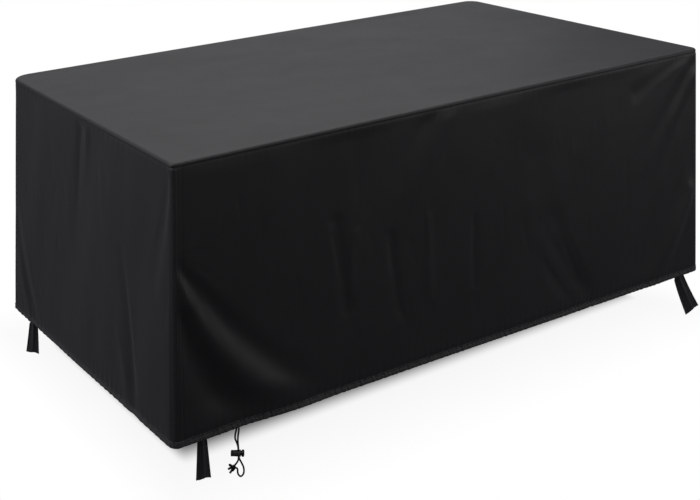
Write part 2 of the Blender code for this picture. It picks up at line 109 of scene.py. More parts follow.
BACK_FOLDS = (
    ((15, 220), (140, 430), (360, 700), 20, 56, 10, 18),
    ((35, 340), (90, 520), (200, 690), 30, 44, -9, -10),
    ((700, 8), (640, 110), (590, 260), 24, 34, -6, -5),
    ((1120, 180), (1150, 360), (1230, 640), 30, 38, -7, -8),
    ((1800, 60), (1700, 240), (1590, 430), 24, 38, -8, -7),
    ((1820, 330), (1740, 520), (1640, 690), 26, 36, 8, 9),
)
RIGHT_FOLDS = (
    ((30, 60), (120, 210), (190, 380), 20, 32, -8, -6),
    ((420, 10), (440, 170), (470, 340), 18, 26, 6, 4),
    ((640, 330), (620, 470), (590, 690), 20, 28, -7, -8),
    ((1010, 200), (930, 400), (850, 690), 20, 34, 8, 9),
)
RIPPLES = ((2.3, 0.6, 0.4, 2.2), (5.1, 1.3, 1.9, 1.1), (8.7, 0.8, 4.0, 0.7))
RIPPLE_EASE = (0.15, 0.5, 0.7)     # how much flatter the cloth lies than its solid in each
TOP_RIPPLES = ((1.5, 0.7, 1.0), (2.6, -1.9, 0.7), (-1.1, 2.3, 0.6))

# Finer creases that only the cloth shows, in the same columns as the folds. The broad ones are where the
# cloth lies flatter or fuller than its solid.
FRONT_CREASES = (
    ((36, 88), (34, 130), (30, 172), 5, 5, -0.67, -0.50),
    ((176, 92), (180, 130), (190, 170), 6, 6, -0.59, -0.42),
    ((247, 180), (249, 208), (247, 236), 6, 6, -0.50, -0.42),
    ((60, 300), (110, 420), (170, 505), 8, 10, 1.09, 0.67),
    ((50, 262), (100, 345), (175, 430), 7, 10, -0.92, -0.67),
    ((22, 205), (70, 212), (118, 205), 6, 7, 0.67, 0.42),
    ((25, 232), (80, 262), (140, 330), 6, 8, -0.76, -0.50),
    ((90, 520), (150, 585), (205, 640), 9, 12, -0.92, -0.67),
    ((455, 250), (470, 330), (490, 415), 6, 7, -0.92, -0.84),
    ((492, 352), (500, 420), (504, 486), 5, 7, -0.76, -0.84),
    ((515, 290), (512, 345), (516, 398), 5, 6, 0.76, 0.59),
    ((530, 300), (528, 330), (520, 372), 4, 5, -0.76, -0.59),
    ((585, 318), (586, 342), (588, 366), 5, 5, -0.59, -0.50),
    ((633, 300), (640, 372), (655, 440), 5, 7, -0.92, -0.84),
    ((668, 395), (664, 450), (650, 505), 6, 6, -0.76, -0.50),
    ((706, 392), (722, 396), (738, 420), 5, 5, -0.67, -0.50),
    ((758, 262), (752, 330), (760, 412), 6, 7, -0.76, -0.67),
    ((772, 330), (774, 380), (768, 446), 5, 6, 0.59, 0.42),
    ((928, 280), (932, 360), (930, 452), 6, 8, -0.84, -0.59),
    ((1038, 300), (1044, 380), (1052, 462), 6, 7, -0.67, -0.50),
    ((1110, 352), (1122, 420), (1145, 498), 7, 8, -0.59, -0.50),
    ((1262, 452), (1305, 530), (1356, 640), 8, 9, -1.01, -0.92),
    ((1290, 430), (1338, 520), (1392, 622), 7, 8, 0.76, 0.59),
    ((1538, 250), (1541, 350), (1546, 470), 8, 8, -0.84, -0.59),
    ((1818, 96), (1742, 236), (1668, 372), 8, 12, 1.01, 0.67),
    ((1838, 150), (1772, 300), (1706, 420), 8, 11, -1.01, -0.76),
    ((1842, 205), (1800, 352), (1748, 480), 8, 10, 0.92, 0.59),
    ((1835, 500), (1796, 590), (1742, 686), 8, 10, -0.92, -0.76),
    ((1800, 30), (1720, 66), (1648, 92), 6, 9, 0.67, 0.42),
    ((812, 12), (764, 66), (716, 122), 8, 12, 0.67, 0.42),
    ((1215, 430), (1280, 560), (1350, 690), 24, 26, -1.5, -3.4),
    ((1240, 400), (1305, 535), (1380, 690), 28, 32, 1.0, 4.0),
    ((1150, 330), (1255, 520), (1378, 690), 22, 26, -1.6, -4.2),
    ((1180, 470), (1262, 580), (1330, 690), 8, 9, 0.9, 0.7),
    ((1790, 8), (1690, 45), (1580, 92), 16, 22, 2.2, 1.8),
    ((1850, 75), (1760, 200), (1650, 330), 20, 32, -3.2, -0.6),
    ((1850, 40), (1700, 190), (1612, 471), 26, 34, -2.4, -1.8),
    ((1850, 330), (1800, 470), (1700, 640), 24, 34, 3.8, 3.0),
    ((1842, 262), (1775, 400), (1690, 560), 7, 9, 1.0, 0.7),
    ((1846, 300), (1765, 450), (1640, 640), 6, 9, -0.9, -0.7),
)
LEFT_CREASES = (
    ((508, 40), (496, 160), (486, 262), 6, 8, -1.01, -0.67),
    ((530, 20), (524, 90), (510, 170), 6, 8, 0.84, 0.42),
    ((455, 150), (452, 250), (440, 352), 8, 10, -0.59, -0.42),
    ((56, 300), (100, 400), (140, 512), 7, 8, -0.84, -0.67),
    ((94, 392), (140, 520), (176, 640), 7, 9, 0.76, 0.59),
    ((780, 320), (800, 440), (822, 600), 6, 8, -1.01, -0.84),
    ((812, 380), (828, 500), (852, 652), 6, 8, 0.84, 0.67),
    ((1022, 60), (985, 160), (950, 256), 6, 9, -1.01, -0.67),
    ((1035, 96), (1008, 190), (978, 300), 6, 8, 0.92, 0.59),
    ((1044, 232), (1030, 330), (1004, 430), 7, 8, -0.76, -0.50),
    ((300, 60), (318, 150), (330, 250), 10, 12, -0.59, -0.42),
    ((650, 70), (662, 170), (668, 282), 9, 12, 0.67, 0.42),
    ((1045, 120), (1020, 225), (985, 330), 14, 22, -3.2, -0.6),
    ((1040, 40), (1000, 195), (940, 320), 16, 26, 2.0, 0.4),
    ((770, 290), (795, 430), (835, 700), 18, 24, 0.3, 3.4),
    ((745, 510), (775, 600), (800, 690), 16, 22, -0.4, -2.8),
    ((36, 400), (85, 520), (165, 690), 20, 28, 0.5, 2.2),
    ((60, 520), (95, 600), (130, 690), 16, 22, -0.3, -2.0),
)
BACK_CREASES = (
    ((120, 70), (150, 170), (196, 262), 7, 9, -0.84, -0.59),
    ((620, 40), (590, 160), (566, 262), 8, 10, 0.76, 0.50),
    ((930, 250), (936, 350), (948, 470), 6, 8, -0.84, -0.59),
    ((1330, 60), (1310, 170), (1300, 292), 8, 9, 0.67, 0.42),
    ((1760, 130), (1690, 260), (1620, 402), 8, 10, 0.84, 0.59),
)
RIGHT_CREASES = (
    ((52, 90), (110, 210), (160, 330), 7, 9, -0.84, -0.59),
    ((330, 60), (346, 190), (372, 300), 7, 9, 0.67, 0.42),
    ((600, 350), (596, 460), (586, 590), 7, 8, -0.76, -0.59),
    ((980, 260), (920, 400), (880, 540), 8, 9, 0.84, 0.59),
)

# Side: name, its folds and creases, columns along it and rows down it, how many faint marks it has,
# and how high its soft waves are (mm)
SIDES = (
    ("front", FRONT_FOLDS, FRONT_CREASES, 320, 104, 80, 0.50),
    ("right", RIGHT_FOLDS, RIGHT_CREASES, 120, 72, 30, 0.55),
    ("back", BACK_FOLDS, BACK_CREASES, 210, 72, 50, 0.55),
    ("left", LEFT_FOLDS, LEFT_CREASES, 176, 100, 22, 0.32),
)

# Webbing tail: name, its side, mm along it, free length, lean along and outward (mm), turn (degrees),
# width at its top and end (mm)
TAILS = (
    ("front_left", 0, 82, 107, -3, 4, 9, 24, 38),
    ("front_right", 0, 1792, 138, 76, 8, 15, 35, 53),
    ("back_right", 1, 885, 100, -6, 3, -50, 24, 38),
    ("back_left", 3, 138, 105, -15, 7, -50, 24, 38),
)
TAIL_THICK = 0.0018
TAIL_SEWN, TAIL_PLEAT, TAIL_WAVE, TAIL_TURN_IN = 0.014, 0.0022, 0.0016, 0.010
LEAN_CURVE, TAIL_CLEAR = 1.12, 0.0012

CORD = 0.0045
CORD_EXIT_ALONG = 174
CORD_TURN = math.radians(-36)
# Cord routes: mm to the right in the cord's plane, mm away from it, mm up from the hem's lower edge
SHORT_ROUTE = (
    (0.4, 0.0, -0.6), (-1.4, -0.7, -9), (-3.4, -1.6, -18), (-3.6, -2.3, -28), (-0.6, -2.45, -38),
    (2.2, -2.45, -49), (3.0, -2.45, -60), (3.0, -2.45, -70), (3.0, -2.45, -80), (1.8, -2.3, -88),
    (-1.4, -1.7, -95.0), (-5.6, -1.2, -101.0), (-8.8, -0.8, -105.4), (-10.8, -0.5, -109.4),
)
LOOP_ROUTE = (
    (6.0, 0.2, -0.8), (5.2, 0.8, -9), (3.8, 1.7, -18), (2.6, 2.3, -28), (2.2, 2.45, -38),
    (2.6, 2.45, -49), (3.0, 2.45, -60), (3.0, 2.45, -70), (3.0, 2.45, -80), (4.8, 2.2, -88),
    (9.4, 1.6, -98), (13.4, 1.1, -108), (14.8, 0.8, -118.5), (13.0, 0.6, -129), (6.8, 0.4, -135.5),
    (1.2, 0.2, -131), (-0.8, 0.0, -123), (-0.6, -0.2, -116.6), (-2.0, -0.4, -112.4), (-5.2, -0.5, -110.6),
    (-9.0, -0.5, -110.8),
)
UPPER_TAIL_ROUTE = (
    (-16.5, -0.6, -110.8), (-20.4, -0.8, -112.2), (-22.0, -1.2, -113.6), (-23.6, -1.6, -115.2),
)
LOWER_TAIL_ROUTE = (
    (-14.6, -0.5, -117.4), (-16.6, -0.4, -121.0), (-18.2, 0.2, -123.6), (-19.8, 0.8, -126.2),
)
EAR_ROUTE = (
    (-10.6, -2.4, -107.8), (-13.4, -2.9, -104.6), (-16.8, -2.5, -102.4), (-19.4, -0.6, -102.2),
    (-19.6, 1.4, -104.6), (-16.6, 2.0, -107.6), (-12.8, 1.4, -110.2),
)
KNOT_AT = (-11.8, -0.5, -111.2)
KNOT_HALF = (7.0, 6.2, 8.6)
KNOT_CORD, LOOSE_CORD = 1.10, 1.22      # how thick the cord is in the knot, and where it is loose
LOCK_UP = -70.0
LOCK_CORD_AT = 3.0
BARREL_FROM, BARREL_TO, BARREL_R, BORE_R = -15.6, 8.2, 8.7, 6.4
STEM_FROM, STEM_R = -9.0, 6.05
HEAD_FROM, HEAD_TO, HEAD_R = 11.0, 16.9, 8.8
SLOT_HALF_WIDE, SLOT_SLACK, TRAVEL = 5.1, 2.6, 2.5

SEED = 19


# ---- camera ------------------------------------------------------------------------------

CAMERA_PLACE = (-2.0777, -2.7797, 0.8516)
CAMERA_TURN = (36.17, 19.29)    # degrees to the right of +Y, and down


def camera():
    """Off the left front corner, a little above the cover, with a small drop of the lens."""
    data = bpy.data.cameras.new("camera")
    data.sensor_width, data.lens, data.shift_y = 36, 62.87, -0.10
    obj = bpy.data.objects.new("camera", data)
    bpy.context.scene.collection.objects.link(obj)
    yaw, pitch = (math.radians(degrees) for degrees in CAMERA_TURN)
    ahead = Vector((math.sin(yaw) * math.cos(pitch), math.cos(yaw) * math.cos(pitch), -math.sin(pitch)))
    obj.location = CAMERA_PLACE
    obj.rotation_mode = "QUATERNION"
    obj.rotation_quaternion = ahead.to_track_quat("-Z", "Y")
    bpy.context.scene.camera = obj


# ---- node groups -------------------------------------------------------------------------

class Nodes:
    """Short ways to put nodes in a tree and join them."""

    def __init__(self, tree):
        self.tree = tree

    def add(self, kind, **settings):
        node = self.tree.nodes.new(kind)
        for key, value in settings.items():
            setattr(node, key, value)
        return node

    def put(self, socket, value):
        """Gives a socket a constant, or joins another socket to it."""
        if isinstance(value, bpy.types.NodeSocket):
            self.tree.links.new(value, socket)
        else:
            socket.default_value = value

    def math(self, operation, *values):
        node = self.add("ShaderNodeMath", operation=operation)
        for socket, value in zip(node.inputs, values):
            self.put(socket, value)
        return node.outputs[0]

    def times(self, first, second):
        return self.math("MULTIPLY", first, second)

    def times_plus(self, value, factor, rest):
        return self.math("MULTIPLY_ADD", value, factor, rest)

    def sine(self, value):
        """One half wave for each whole number."""
        return self.math("SINE", self.times(value, math.pi))

    def hump(self, value):
        return self.math("ABSOLUTE", self.sine(value))

    def apart(self, vector):
        node = self.add("ShaderNodeSeparateXYZ")
        self.put(node.inputs[0], vector)
        return node.outputs[0], node.outputs[1]

    def mix(self, share, first, second, kind="FLOAT"):
        node = self.add("ShaderNodeMix", data_type=kind, clamp_factor=True)
        for socket, value in zip([s for s in node.inputs if s.enabled], (share, first, second)):
            self.put(socket, value)
        return [s for s in node.outputs if s.enabled][0]

    def noise(self, vector, scale, detail=3.0, rough=0.5, stretch=None):
        if stretch is not None:
            place = self.add("ShaderNodeMapping")
            self.put(place.inputs["Scale"], stretch)
            self.put(place.inputs["Vector"], vector)
            vector = place.outputs[0]
        node = self.add("ShaderNodeTexNoise", noise_dimensions="3D")
        for key, value in (("Scale", scale), ("Detail", detail), ("Roughness", rough), ("Vector", vector)):
            self.put(node.inputs[key], value)
        return node.outputs[0]

    def span(self, value, low, high):
        """0 at low and under, 1 at high and over."""
        node = self.add("ShaderNodeMapRange", clamp=True)
        for key, number in (("From Min", low), ("From Max", high), ("Value", value)):
            self.put(node.inputs[key], number)
        return node.outputs[0]

    def group(self, tree, **inputs):
        """Puts a node group in the tree and gives its outputs."""
        node = self.add("ShaderNodeGroup", node_tree=tree)
        for key, value in inputs.items():
            self.put(node.inputs[key.replace("_", " ")], value)
        return node.outputs


def new_group(name, inputs, *outputs):
    """A shader node group. Its first input is Place. The others are numbers, by name."""
    tree = bpy.data.node_groups.new(name, "ShaderNodeTree")
    tree.interface.new_socket("Place", in_out="INPUT", socket_type="NodeSocketVector")
    for title, number in inputs.items():
        socket = tree.interface.new_socket(title, in_out="INPUT", socket_type="NodeSocketFloat")
        socket.default_value = number
    for title in outputs:
        kind = "NodeSocketColor" if title == "Colour" else "NodeSocketFloat"
        tree.interface.new_socket(title, in_out="OUTPUT", socket_type=kind)
    nodes = Nodes(tree)
    return nodes, nodes.add("NodeGroupInput").outputs, nodes.add("NodeGroupOutput").inputs


def plain_weave_group():
    """Over and under of a plain weave. Height is 0 to 1; Warp is 1 where the upright thread is on top."""
    nodes, given, made = new_group("plain_weave", {"Pitch": 0.0006}, "Height", "Warp")
    across, along = (nodes.math("DIVIDE", part, given["Pitch"]) for part in nodes.apart(given["Place"]))
    round_across, round_along = nodes.hump(across), nodes.hump(along)
    cells = nodes.math("ADD", nodes.math("FLOOR", across), nodes.math("FLOOR", along))
    warp = nodes.math("FLOORED_MODULO", cells, 2.0)
    upright = nodes.times(round_across, nodes.times_plus(round_along, 0.4, 0.6))
    level = nodes.times(round_along, nodes.times_plus(round_across, 0.4, 0.6))
    nodes.put(made["Height"], nodes.mix(warp, level, upright))
    nodes.put(made["Warp"], warp)
    return nodes.tree


def cloth_tone_group():
    """Slow changes of tone over a cloth: cloudy dye, small flecks and thread streaks, all 0 to 1."""
    nodes, given, made = new_group("cloth_tone", {}, "Cloud", "Fleck", "Streak")
    place = given["Place"]
    streak = nodes.noise(place, 1.0, 2.0, 0.6, (900.0, 30.0, 30.0))
    nodes.put(made["Cloud"], nodes.span(nodes.noise(place, 4.5, 4.0, 0.55), 0.3, 0.7))
    nodes.put(made["Fleck"], nodes.span(nodes.noise(place, 160.0, 3.0, 0.6), 0.35, 0.72))
    nodes.put(made["Streak"], nodes.span(streak, 0.35, 0.65))
    return nodes.tree


def rumple_group():
    """Soft crumpling that the mesh is too coarse for, as a height in metres."""
    nodes, given, made = new_group("rumple", {"Depth": 0.0006}, "Height")
    broad = nodes.noise(given["Place"], 16.0, 2.0, 0.45)
    small = nodes.noise(given["Place"], 55.0, 2.0, 0.5, (1.0, 0.55, 0.55))
    nodes.put(made["Height"], nodes.times(nodes.times_plus(small, 0.30, broad), given["Depth"]))
    return nodes.tree


def braid_group():
    """Crossing strands of a braided cord from its own map: turns round it, and diameters along it."""
    nodes, given, made = new_group("braid", {"Strands": 8.0}, "Height", "Shade")
    turn, run = nodes.apart(given["Place"])
    turn, run = nodes.times(turn, given["Strands"]), nodes.times(run, 3.2)
    one, two = nodes.sine(nodes.math("ADD", turn, run)), nodes.sine(nodes.math("SUBTRACT", turn, run))
    top = nodes.math("MAXIMUM", nodes.math("ABSOLUTE", one), nodes.math("ABSOLUTE", two))
    nodes.put(made["Height"], nodes.math("POWER", top, 0.7))
    nodes.put(made["Shade"], nodes.math("ABSOLUTE", nodes.times(one, two)))
    return nodes.tree


def webbing_group():
    """Fine ribs down a webbing with a slanted twill across them, from its own map in metres."""
    nodes, given, made = new_group("webbing_weave", {"Rib": 0.0011}, "Height", "Rib Shade")
    across, along = (nodes.math("DIVIDE", part, given["Rib"]) for part in nodes.apart(given["Place"]))
    rib = nodes.hump(across)
    slant = nodes.math("ADD", along, nodes.math("PINGPONG", across, 1.0))
    twill = nodes.math("SINE", nodes.times(slant, 2.2 * math.pi))
    nodes.put(made["Height"], nodes.times_plus(twill, 0.25, nodes.times(rib, 0.75)))
    nodes.put(made["Rib Shade"], rib)
    return nodes.tree


def grain_group():
    """Fine spark-eroded grain and faint rub marks of a moulded plastic."""
    nodes, given, made = new_group("moulded_grain", {"Size": 2600.0}, "Height", "Rub")
    nodes.put(made["Height"], nodes.noise(given["Place"], given["Size"], 2.0))
    nodes.put(made["Rub"], nodes.span(nodes.noise(given["Place"], 420.0, 4.0, 0.65), 0.45, 0.75))
    return nodes.tree


# ---- materials ---------------------------------------------------------------------------

def start_material(name, settings):
    made = bpy.data.materials.new(name)
    made.use_nodes = True
    shader = made.node_tree.nodes["Principled BSDF"].inputs
    for socket, value in settings.items():
        shader[socket].default_value = value
    return made, Nodes(made.node_tree), shader


def own_map(nodes):
    return nodes.add("ShaderNodeUVMap", uv_map="cloth_map").outputs[0]


def object_place(nodes):
    return nodes.add("ShaderNodeTexCoord").outputs["Object"]


def near_seam(nodes):
    return nodes.add("ShaderNodeAttribute", attribute_name="seam_near").outputs["Fac"]


def bump(nodes, shader, height):
    node = nodes.add("ShaderNodeBump")
    nodes.put(node.inputs["Strength"], 1.0)
    nodes.put(node.inputs["Distance"], 1.0)
    nodes.put(node.inputs["Height"], height)
    nodes.put(shader["Normal"], node.outputs[0])


def shade_of(nodes, base, *changes):
    """A grey base colour, brightened and darkened by (mask, share) pairs."""
    value = None
    for mask, share in changes:
        step = nodes.times_plus(mask, 2 * share, 1 - share)
        value = step if value is None else nodes.times(value, step)
    tint = nodes.add("ShaderNodeCombineColor")
    for socket, part in zip(tint.inputs, base):
        nodes.put(socket, nodes.times(value, part))
    return tint.outputs[0]


def cloth_material(name, groups, base, rough, thread_high, rumple, worn):
    """Coated woven polyester. `worn` is how much paler the cloth is along its seams."""
    made, nodes, shader = start_material(name, {
        "Sheen Weight": 0.10, "Sheen Roughness": 0.45, "Sheen Tint": (0.9, 0.93, 1.0, 1.0),
        "Specular IOR Level": 0.5})
    place = own_map(nodes)
    weave = nodes.group(groups["weave"], Place=place, Pitch=WEAVE_PITCH)
    tone = nodes.group(groups["tone"], Place=place)
    soft = nodes.group(groups["rumple"], Place=object_place(nodes), Depth=rumple)
    wear = nodes.times(near_seam(nodes), tone["Fleck"])
    # The weave's height darkens the colour where the threads dip: painted shade in the weave's hollows
    colour = shade_of(nodes, base, (tone["Cloud"], 0.07), (tone["Fleck"], 0.06),
                      (tone["Streak"], 0.05), (weave["Height"], 0.16))
    pale = nodes.mix(nodes.times(wear, worn), colour, (0.075, 0.075, 0.08, 1.0), "RGBA")
    nodes.put(shader["Base Color"], pale)
    dull = nodes.times_plus(weave["Height"], -0.05, nodes.times_plus(tone["Cloud"], 0.06, rough - 0.03))
    nodes.put(shader["Roughness"], nodes.times_plus(wear, 0.08, dull))
    bump(nodes, shader, nodes.times_plus(weave["Height"], thread_high, soft["Height"]))
    return made


def webbing_material(groups):
    made, nodes, shader = start_material("webbing", {
        "Sheen Weight": 0.12, "Sheen Roughness": 0.5, "Specular IOR Level": 0.45})
    place = own_map(nodes)
    weave = nodes.group(groups["webbing"], Place=place)
    tone = nodes.group(groups["tone"], Place=place)
    colour = shade_of(nodes, (0.044, 0.043, 0.048), (weave["Rib Shade"], 0.22),
                      (tone["Fleck"], 0.14), (tone["Cloud"], 0.08))
    pale = nodes.mix(nodes.times(near_seam(nodes), 0.22), colour, (0.09, 0.09, 0.095, 1.0), "RGBA")
    nodes.put(shader["Base Color"], pale)
    nodes.put(shader["Roughness"], nodes.times_plus(weave["Rib Shade"], -0.10, 0.74))
    bump(nodes, shader, nodes.times(weave["Height"], 0.00022))
    return made


def cord_material(groups):
    made, nodes, shader = start_material("cord", {
        "Sheen Weight": 0.10, "Sheen Roughness": 0.4, "Specular IOR Level": 0.5})
    braid = nodes.group(groups["braid"], Place=own_map(nodes))
    tone = nodes.group(groups["tone"], Place=object_place(nodes))
    nodes.put(shader["Base Color"], shade_of(
        nodes, (0.016, 0.016, 0.018), (braid["Shade"], 0.25), (tone["Fleck"], 0.15)))
    nodes.put(shader["Roughness"], nodes.times_plus(braid["Height"], -0.12, 0.66))
    bump(nodes, shader, nodes.times(braid["Height"], 0.0003))
    return made


def plastic_material(name, groups, base, rough):
    made, nodes, shader = start_material(name, {"Specular IOR Level": 0.5})
    place = object_place(nodes)
    grain = nodes.group(groups["grain"], Place=place)
    tone = nodes.group(groups["tone"], Place=place)
    nodes.put(shader["Base Color"], shade_of(nodes, base, (grain["Rub"], 0.35), (tone["Fleck"], 0.2)))
    nodes.put(shader["Roughness"], nodes.times_plus(grain["Rub"], 0.16, rough))
    bump(nodes, shader, nodes.times(grain["Height"], 0.00004))
    return made


def thread_material(groups):
    made, nodes, shader = start_material("sewing_thread", {"Specular IOR Level": 0.5})
    tone = nodes.group(groups["tone"], Place=object_place(nodes))
    nodes.put(shader["Base Color"], shade_of(nodes, (0.030, 0.030, 0.032), (tone["Fleck"], 0.22)))
    nodes.put(shader["Roughness"], nodes.times_plus(tone["Fleck"], 0.12, 0.40))
    return made


# Cloth: its material, base colour, roughness, height of its threads and of its crumpling (m), wear
WEAVE_PITCH = 0.00062
CLOTHS = {
    "cloth": ("coated_cloth", (0.0225, 0.0225, 0.0240), 0.50, 0.00005, 0.0007, 0.30),
    # The top is the walls' cloth; its darker base colour is painted shade that offsets the stronger light on
    # the top
    "top": ("coated_cloth_top", (0.0125, 0.0125, 0.0131), 0.55, 0.00005, 0.0005, 0.30),
    # The hem is the walls' cloth turned up; its lighter base colour is a painted highlight for the light on
    # its gathers
    "hem": ("hem_cloth", (0.052, 0.052, 0.055), 0.66, 0.00007, 0.0011, 0.55),
}


def materials():
    groups = {
        "weave": plain_weave_group(), "tone": cloth_tone_group(), "rumple": rumple_group(),
        "braid": braid_group(), "webbing": webbing_group(), "grain": grain_group(),
    }
    looks = {key: cloth_material(name, groups, *rest) for key, (name, *rest) in CLOTHS.items()}
    looks["webbing"] = webbing_material(groups)
    looks["cord"] = cord_material(groups)
    # The barrel is the same black plastic as the button; its lighter base colour is a painted highlight
    looks["barrel"] = plastic_material("lock_barrel_plastic_painted_highlight", groups, (0.085, 0.085, 0.086), 0.34)
    looks["button"] = plastic_material("lock_button_plastic", groups, (0.024, 0.024, 0.025), 0.30)
    looks["thread"] = thread_material(groups)
    return looks


# ---- the outline, as in the CAD model ----------------------------------------------------

def unit(vectors):
    return vectors / np.linalg.norm(vectors, axis=-1, keepdims=True)


def lengths_along(points):
    """Metres (or mm) from the first of a line of points to each."""
    return np.concatenate([[0], np.cumsum(np.linalg.norm(np.diff(points, axis=0), axis=1))])


def read_at(where, run, points):
    """A line's points at lengths along it."""
    return np.column_stack([np.interp(where, run, points[:, axis]) for axis in range(3)])


def smooth(share):
    share = np.clip(share, 0.0, 1.0)
    return share * share * (3.0 - 2.0 * share)


def turned_by(plan, angle):
    """Plan vectors turned anticlockwise."""
    cos, sin = np.cos(angle), np.sin(angle)
    return np.stack([plan[..., 0] * cos - plan[..., 1] * sin,
                     plan[..., 0] * sin + plan[..., 1] * cos], axis=-1)


def corner(index, level):
    """A corner's plan points and rounding at levels: 0 at the top, 1 at the hem's lower edge."""
    level = np.asarray(level, dtype=float)[..., None]
    _, side_x, side_y, top_shift, hem_shift, round_top, round_hem = CORNERS[index % 4]
    shift = (np.array(top_shift) * (1 - level) + np.array(hem_shift) * level) * MM
    plan = np.concatenate([side_x * (TOP_LENGTH / 2 + FLARE * level),
                           side_y * (TOP_WIDTH / 2 + FLARE * level)], axis=-1)
    return plan + shift[..., :2], (round_top * (1 - level) + round_hem * level)[..., 0] * MM


def height(plan, level):
    across = np.clip(plan[..., 0] / TOP_LENGTH + 0.5, 0, 1)
    back = np.clip(plan[..., 1] / TOP_WIDTH + 0.5, 0, 1)
    lift = [(c[3][2] * (1 - level) + c[4][2] * level) * MM for c in CORNERS]
    front_edge = lift[0] * (1 - across) + lift[1] * across
    back_edge = lift[3] * (1 - across) + lift[2] * across
    return TOP_Z - DROP * level + front_edge * (1 - back) + back_edge * back


def turn_between(first, second):
    return np.arctan2(first[..., 0] * second[..., 1] - first[..., 1] * second[..., 0],
                      (first * second).sum(-1))


def wall_at(side, level, columns):
    """Plan points, outward normals and metres along a wall, at levels and columns (both N).

    A column is (metres, share): it stands at metres plus share times the wall's own path, which
    runs from mid corner to mid corner.
    """
    here, round_here = corner(side, level)
    there, round_there = corner(side + 1, level)
    walk = unit(there - here)
    turn_here = turn_between(unit(here - corner(side - 1, level)[0]), walk)
    turn_there = turn_between(walk, unit(corner(side + 2, level)[0] - there))
    normal = np.stack([walk[..., 1], -walk[..., 0]], axis=-1)
    cut_here, cut_there = round_here * np.tan(turn_here / 2), round_there * np.tan(turn_there / 2)
    arc_here, arc_there = round_here * turn_here / 2, round_there * turn_there / 2
    span = np.linalg.norm(there - here, axis=-1)
    straight = span - cut_here - cut_there
    total = arc_here + straight + arc_there
    run = columns[..., 0] + columns[..., 1] * total
    before = np.maximum(arc_here - run, 0.0)
    beyond = np.maximum(run - arc_here - straight, 0.0)
    facing = turned_by(normal, beyond / round_there - before / round_here)
    flat = np.clip(run - arc_here, 0.0, straight)
    foot = here + walk * (cut_here + flat)[..., None]
    radius = np.where(before > 0, round_here, np.where(beyond > 0, round_there, 0.0))[..., None]
    plan = foot - normal * radius + facing * radius
    along = ((plan - here) * walk).sum(-1) / span * hem_length(side)
    return plan, facing, along, run, total


def hem_length(side):
    return float(np.linalg.norm(corner(side + 1, 1.0)[0] - corner(side, 1.0)[0]))


# ---- folds -------------------------------------------------------------------------------

# How far from the corners and the top the cloth is held in (m), how much the hem holds it, how far over
# the hem that starts, and over what height it sets in (m)
CORNER_HOLD, TOP_HOLD = 0.045, 0.035
HEM_HELD, HEM_HOLD_FROM, HEM_HOLD = 0.72, 0.11, 0.09


def fold_line(start, bend, end, pieces=10):
    share = np.linspace(0, 1, pieces + 1)[:, None]
    ends = (1 - share) ** 2 * np.array(start) + share ** 2 * np.array(end)
    return (ends + 2 * share * (1 - share) * np.array(bend)) * MM


def add_fold(out, points, fold, taper=0.0):
    """Adds one fold's rise to `out`, only where it reaches."""
    start, bend, end, width, width_end, rise, rise_end = fold
    line = fold_line(start, bend, end)
    reach = 3.2 * max(width, width_end) * MM
    near = np.flatnonzero(((points > line.min(0) - reach) & (points < line.max(0) + reach)).all(1))
    spots = points[near]
    distance = np.full(len(spots), 1e9)
    share = np.zeros(len(spots))
    for k in range(len(line) - 1):
        step = line[k + 1] - line[k]
        t = np.clip((spots - line[k]) @ step / (step @ step), 0, 1)
        gap = np.linalg.norm(spots - line[k] - t[:, None] * step, axis=1)
        share = np.where(gap < distance, (k + t) / (len(line) - 1), share)
        distance = np.minimum(gap, distance)
    half_width = (width * (1 - share) + width_end * share) * MM
    high = (rise * (1 - share) + rise_end * share) * MM * np.exp(-(distance / half_width) ** 2)
    if taper:
        high = high * smooth(share / taper) * smooth((1 - share) / taper)
    out[near] += high


def ripple(side, along, down, wave):
    waves_along, waves_down, turn, rise = wave
    phase = 2 * math.pi * (waves_along * along / hem_length(side) + waves_down * down / DROP)
    return rise * MM * np.sin(phase + turn + side)


def relief(side, along, down):
    """The CAD solid's folds: how far the cloth stands out of its plain wall."""
    length = hem_length(side)
    points = np.stack([along, down], axis=1)
    out = np.zeros(len(points))
    for wave in RIPPLES:
        out += ripple(side, along, down, wave)
    for fold in SIDES[side][1]:
        add_fold(out, points, fold)
    return out * hold(along, down, length)


def hold(along, down, length):
    """How free the cloth is: held at the corners, at the top seam and at the hem."""
    corners = smooth(along / CORNER_HOLD) * smooth((length - along) / CORNER_HOLD)
    top = smooth((down - SEAM_DROP) / TOP_HOLD)
    return corners * top * (1 - HEM_HELD * smooth((down - DROP + HEM_HOLD_FROM) / HEM_HOLD))


def faint_marks(side, count):
    """Short, faint upright marks of folded cloth, placed by chance."""
    chance = np.random.default_rng(SEED + side)
    length = hem_length(side) / MM
    marks = []
    for _ in range(count):
        x, y = chance.uniform(60, length - 60), chance.uniform(70, 560)
        run, lean = chance.uniform(30, 110), chance.normal(0, 0.18)
        sway, wide = chance.normal(0, 6), chance.uniform(5, 11)
        rise = chance.choice((-1, 1), p=(0.7, 0.3)) * chance.uniform(0.25, 0.8)
        marks.append(((x, y), (x + lean * run / 2 + sway, y + run / 2), (x + lean * run, y + run),
                      wide, wide * chance.uniform(0.8, 1.4), rise, rise * chance.uniform(0.5, 1.0)))
    return marks


def soft_waves(seed, first, second, high, longest, shortest, count=26):
    """Gentle unevenness without a direction, from waves of chance lengths between two (metres)."""
    chance = np.random.default_rng(seed)
    out = np.zeros(len(first))
    for _ in range(count):
        long = math.exp(chance.uniform(math.log(shortest), math.log(longest)))
        angle, phase = chance.uniform(0, 2 * math.pi, 2)
        push = high * (long / longest) ** 0.8 * chance.uniform(0.4, 1.0)
        run = first * math.cos(angle) + second * math.sin(angle)
        out += push * np.sin(2 * math.pi * run / long + phase)
    return out / math.sqrt(count / 2)


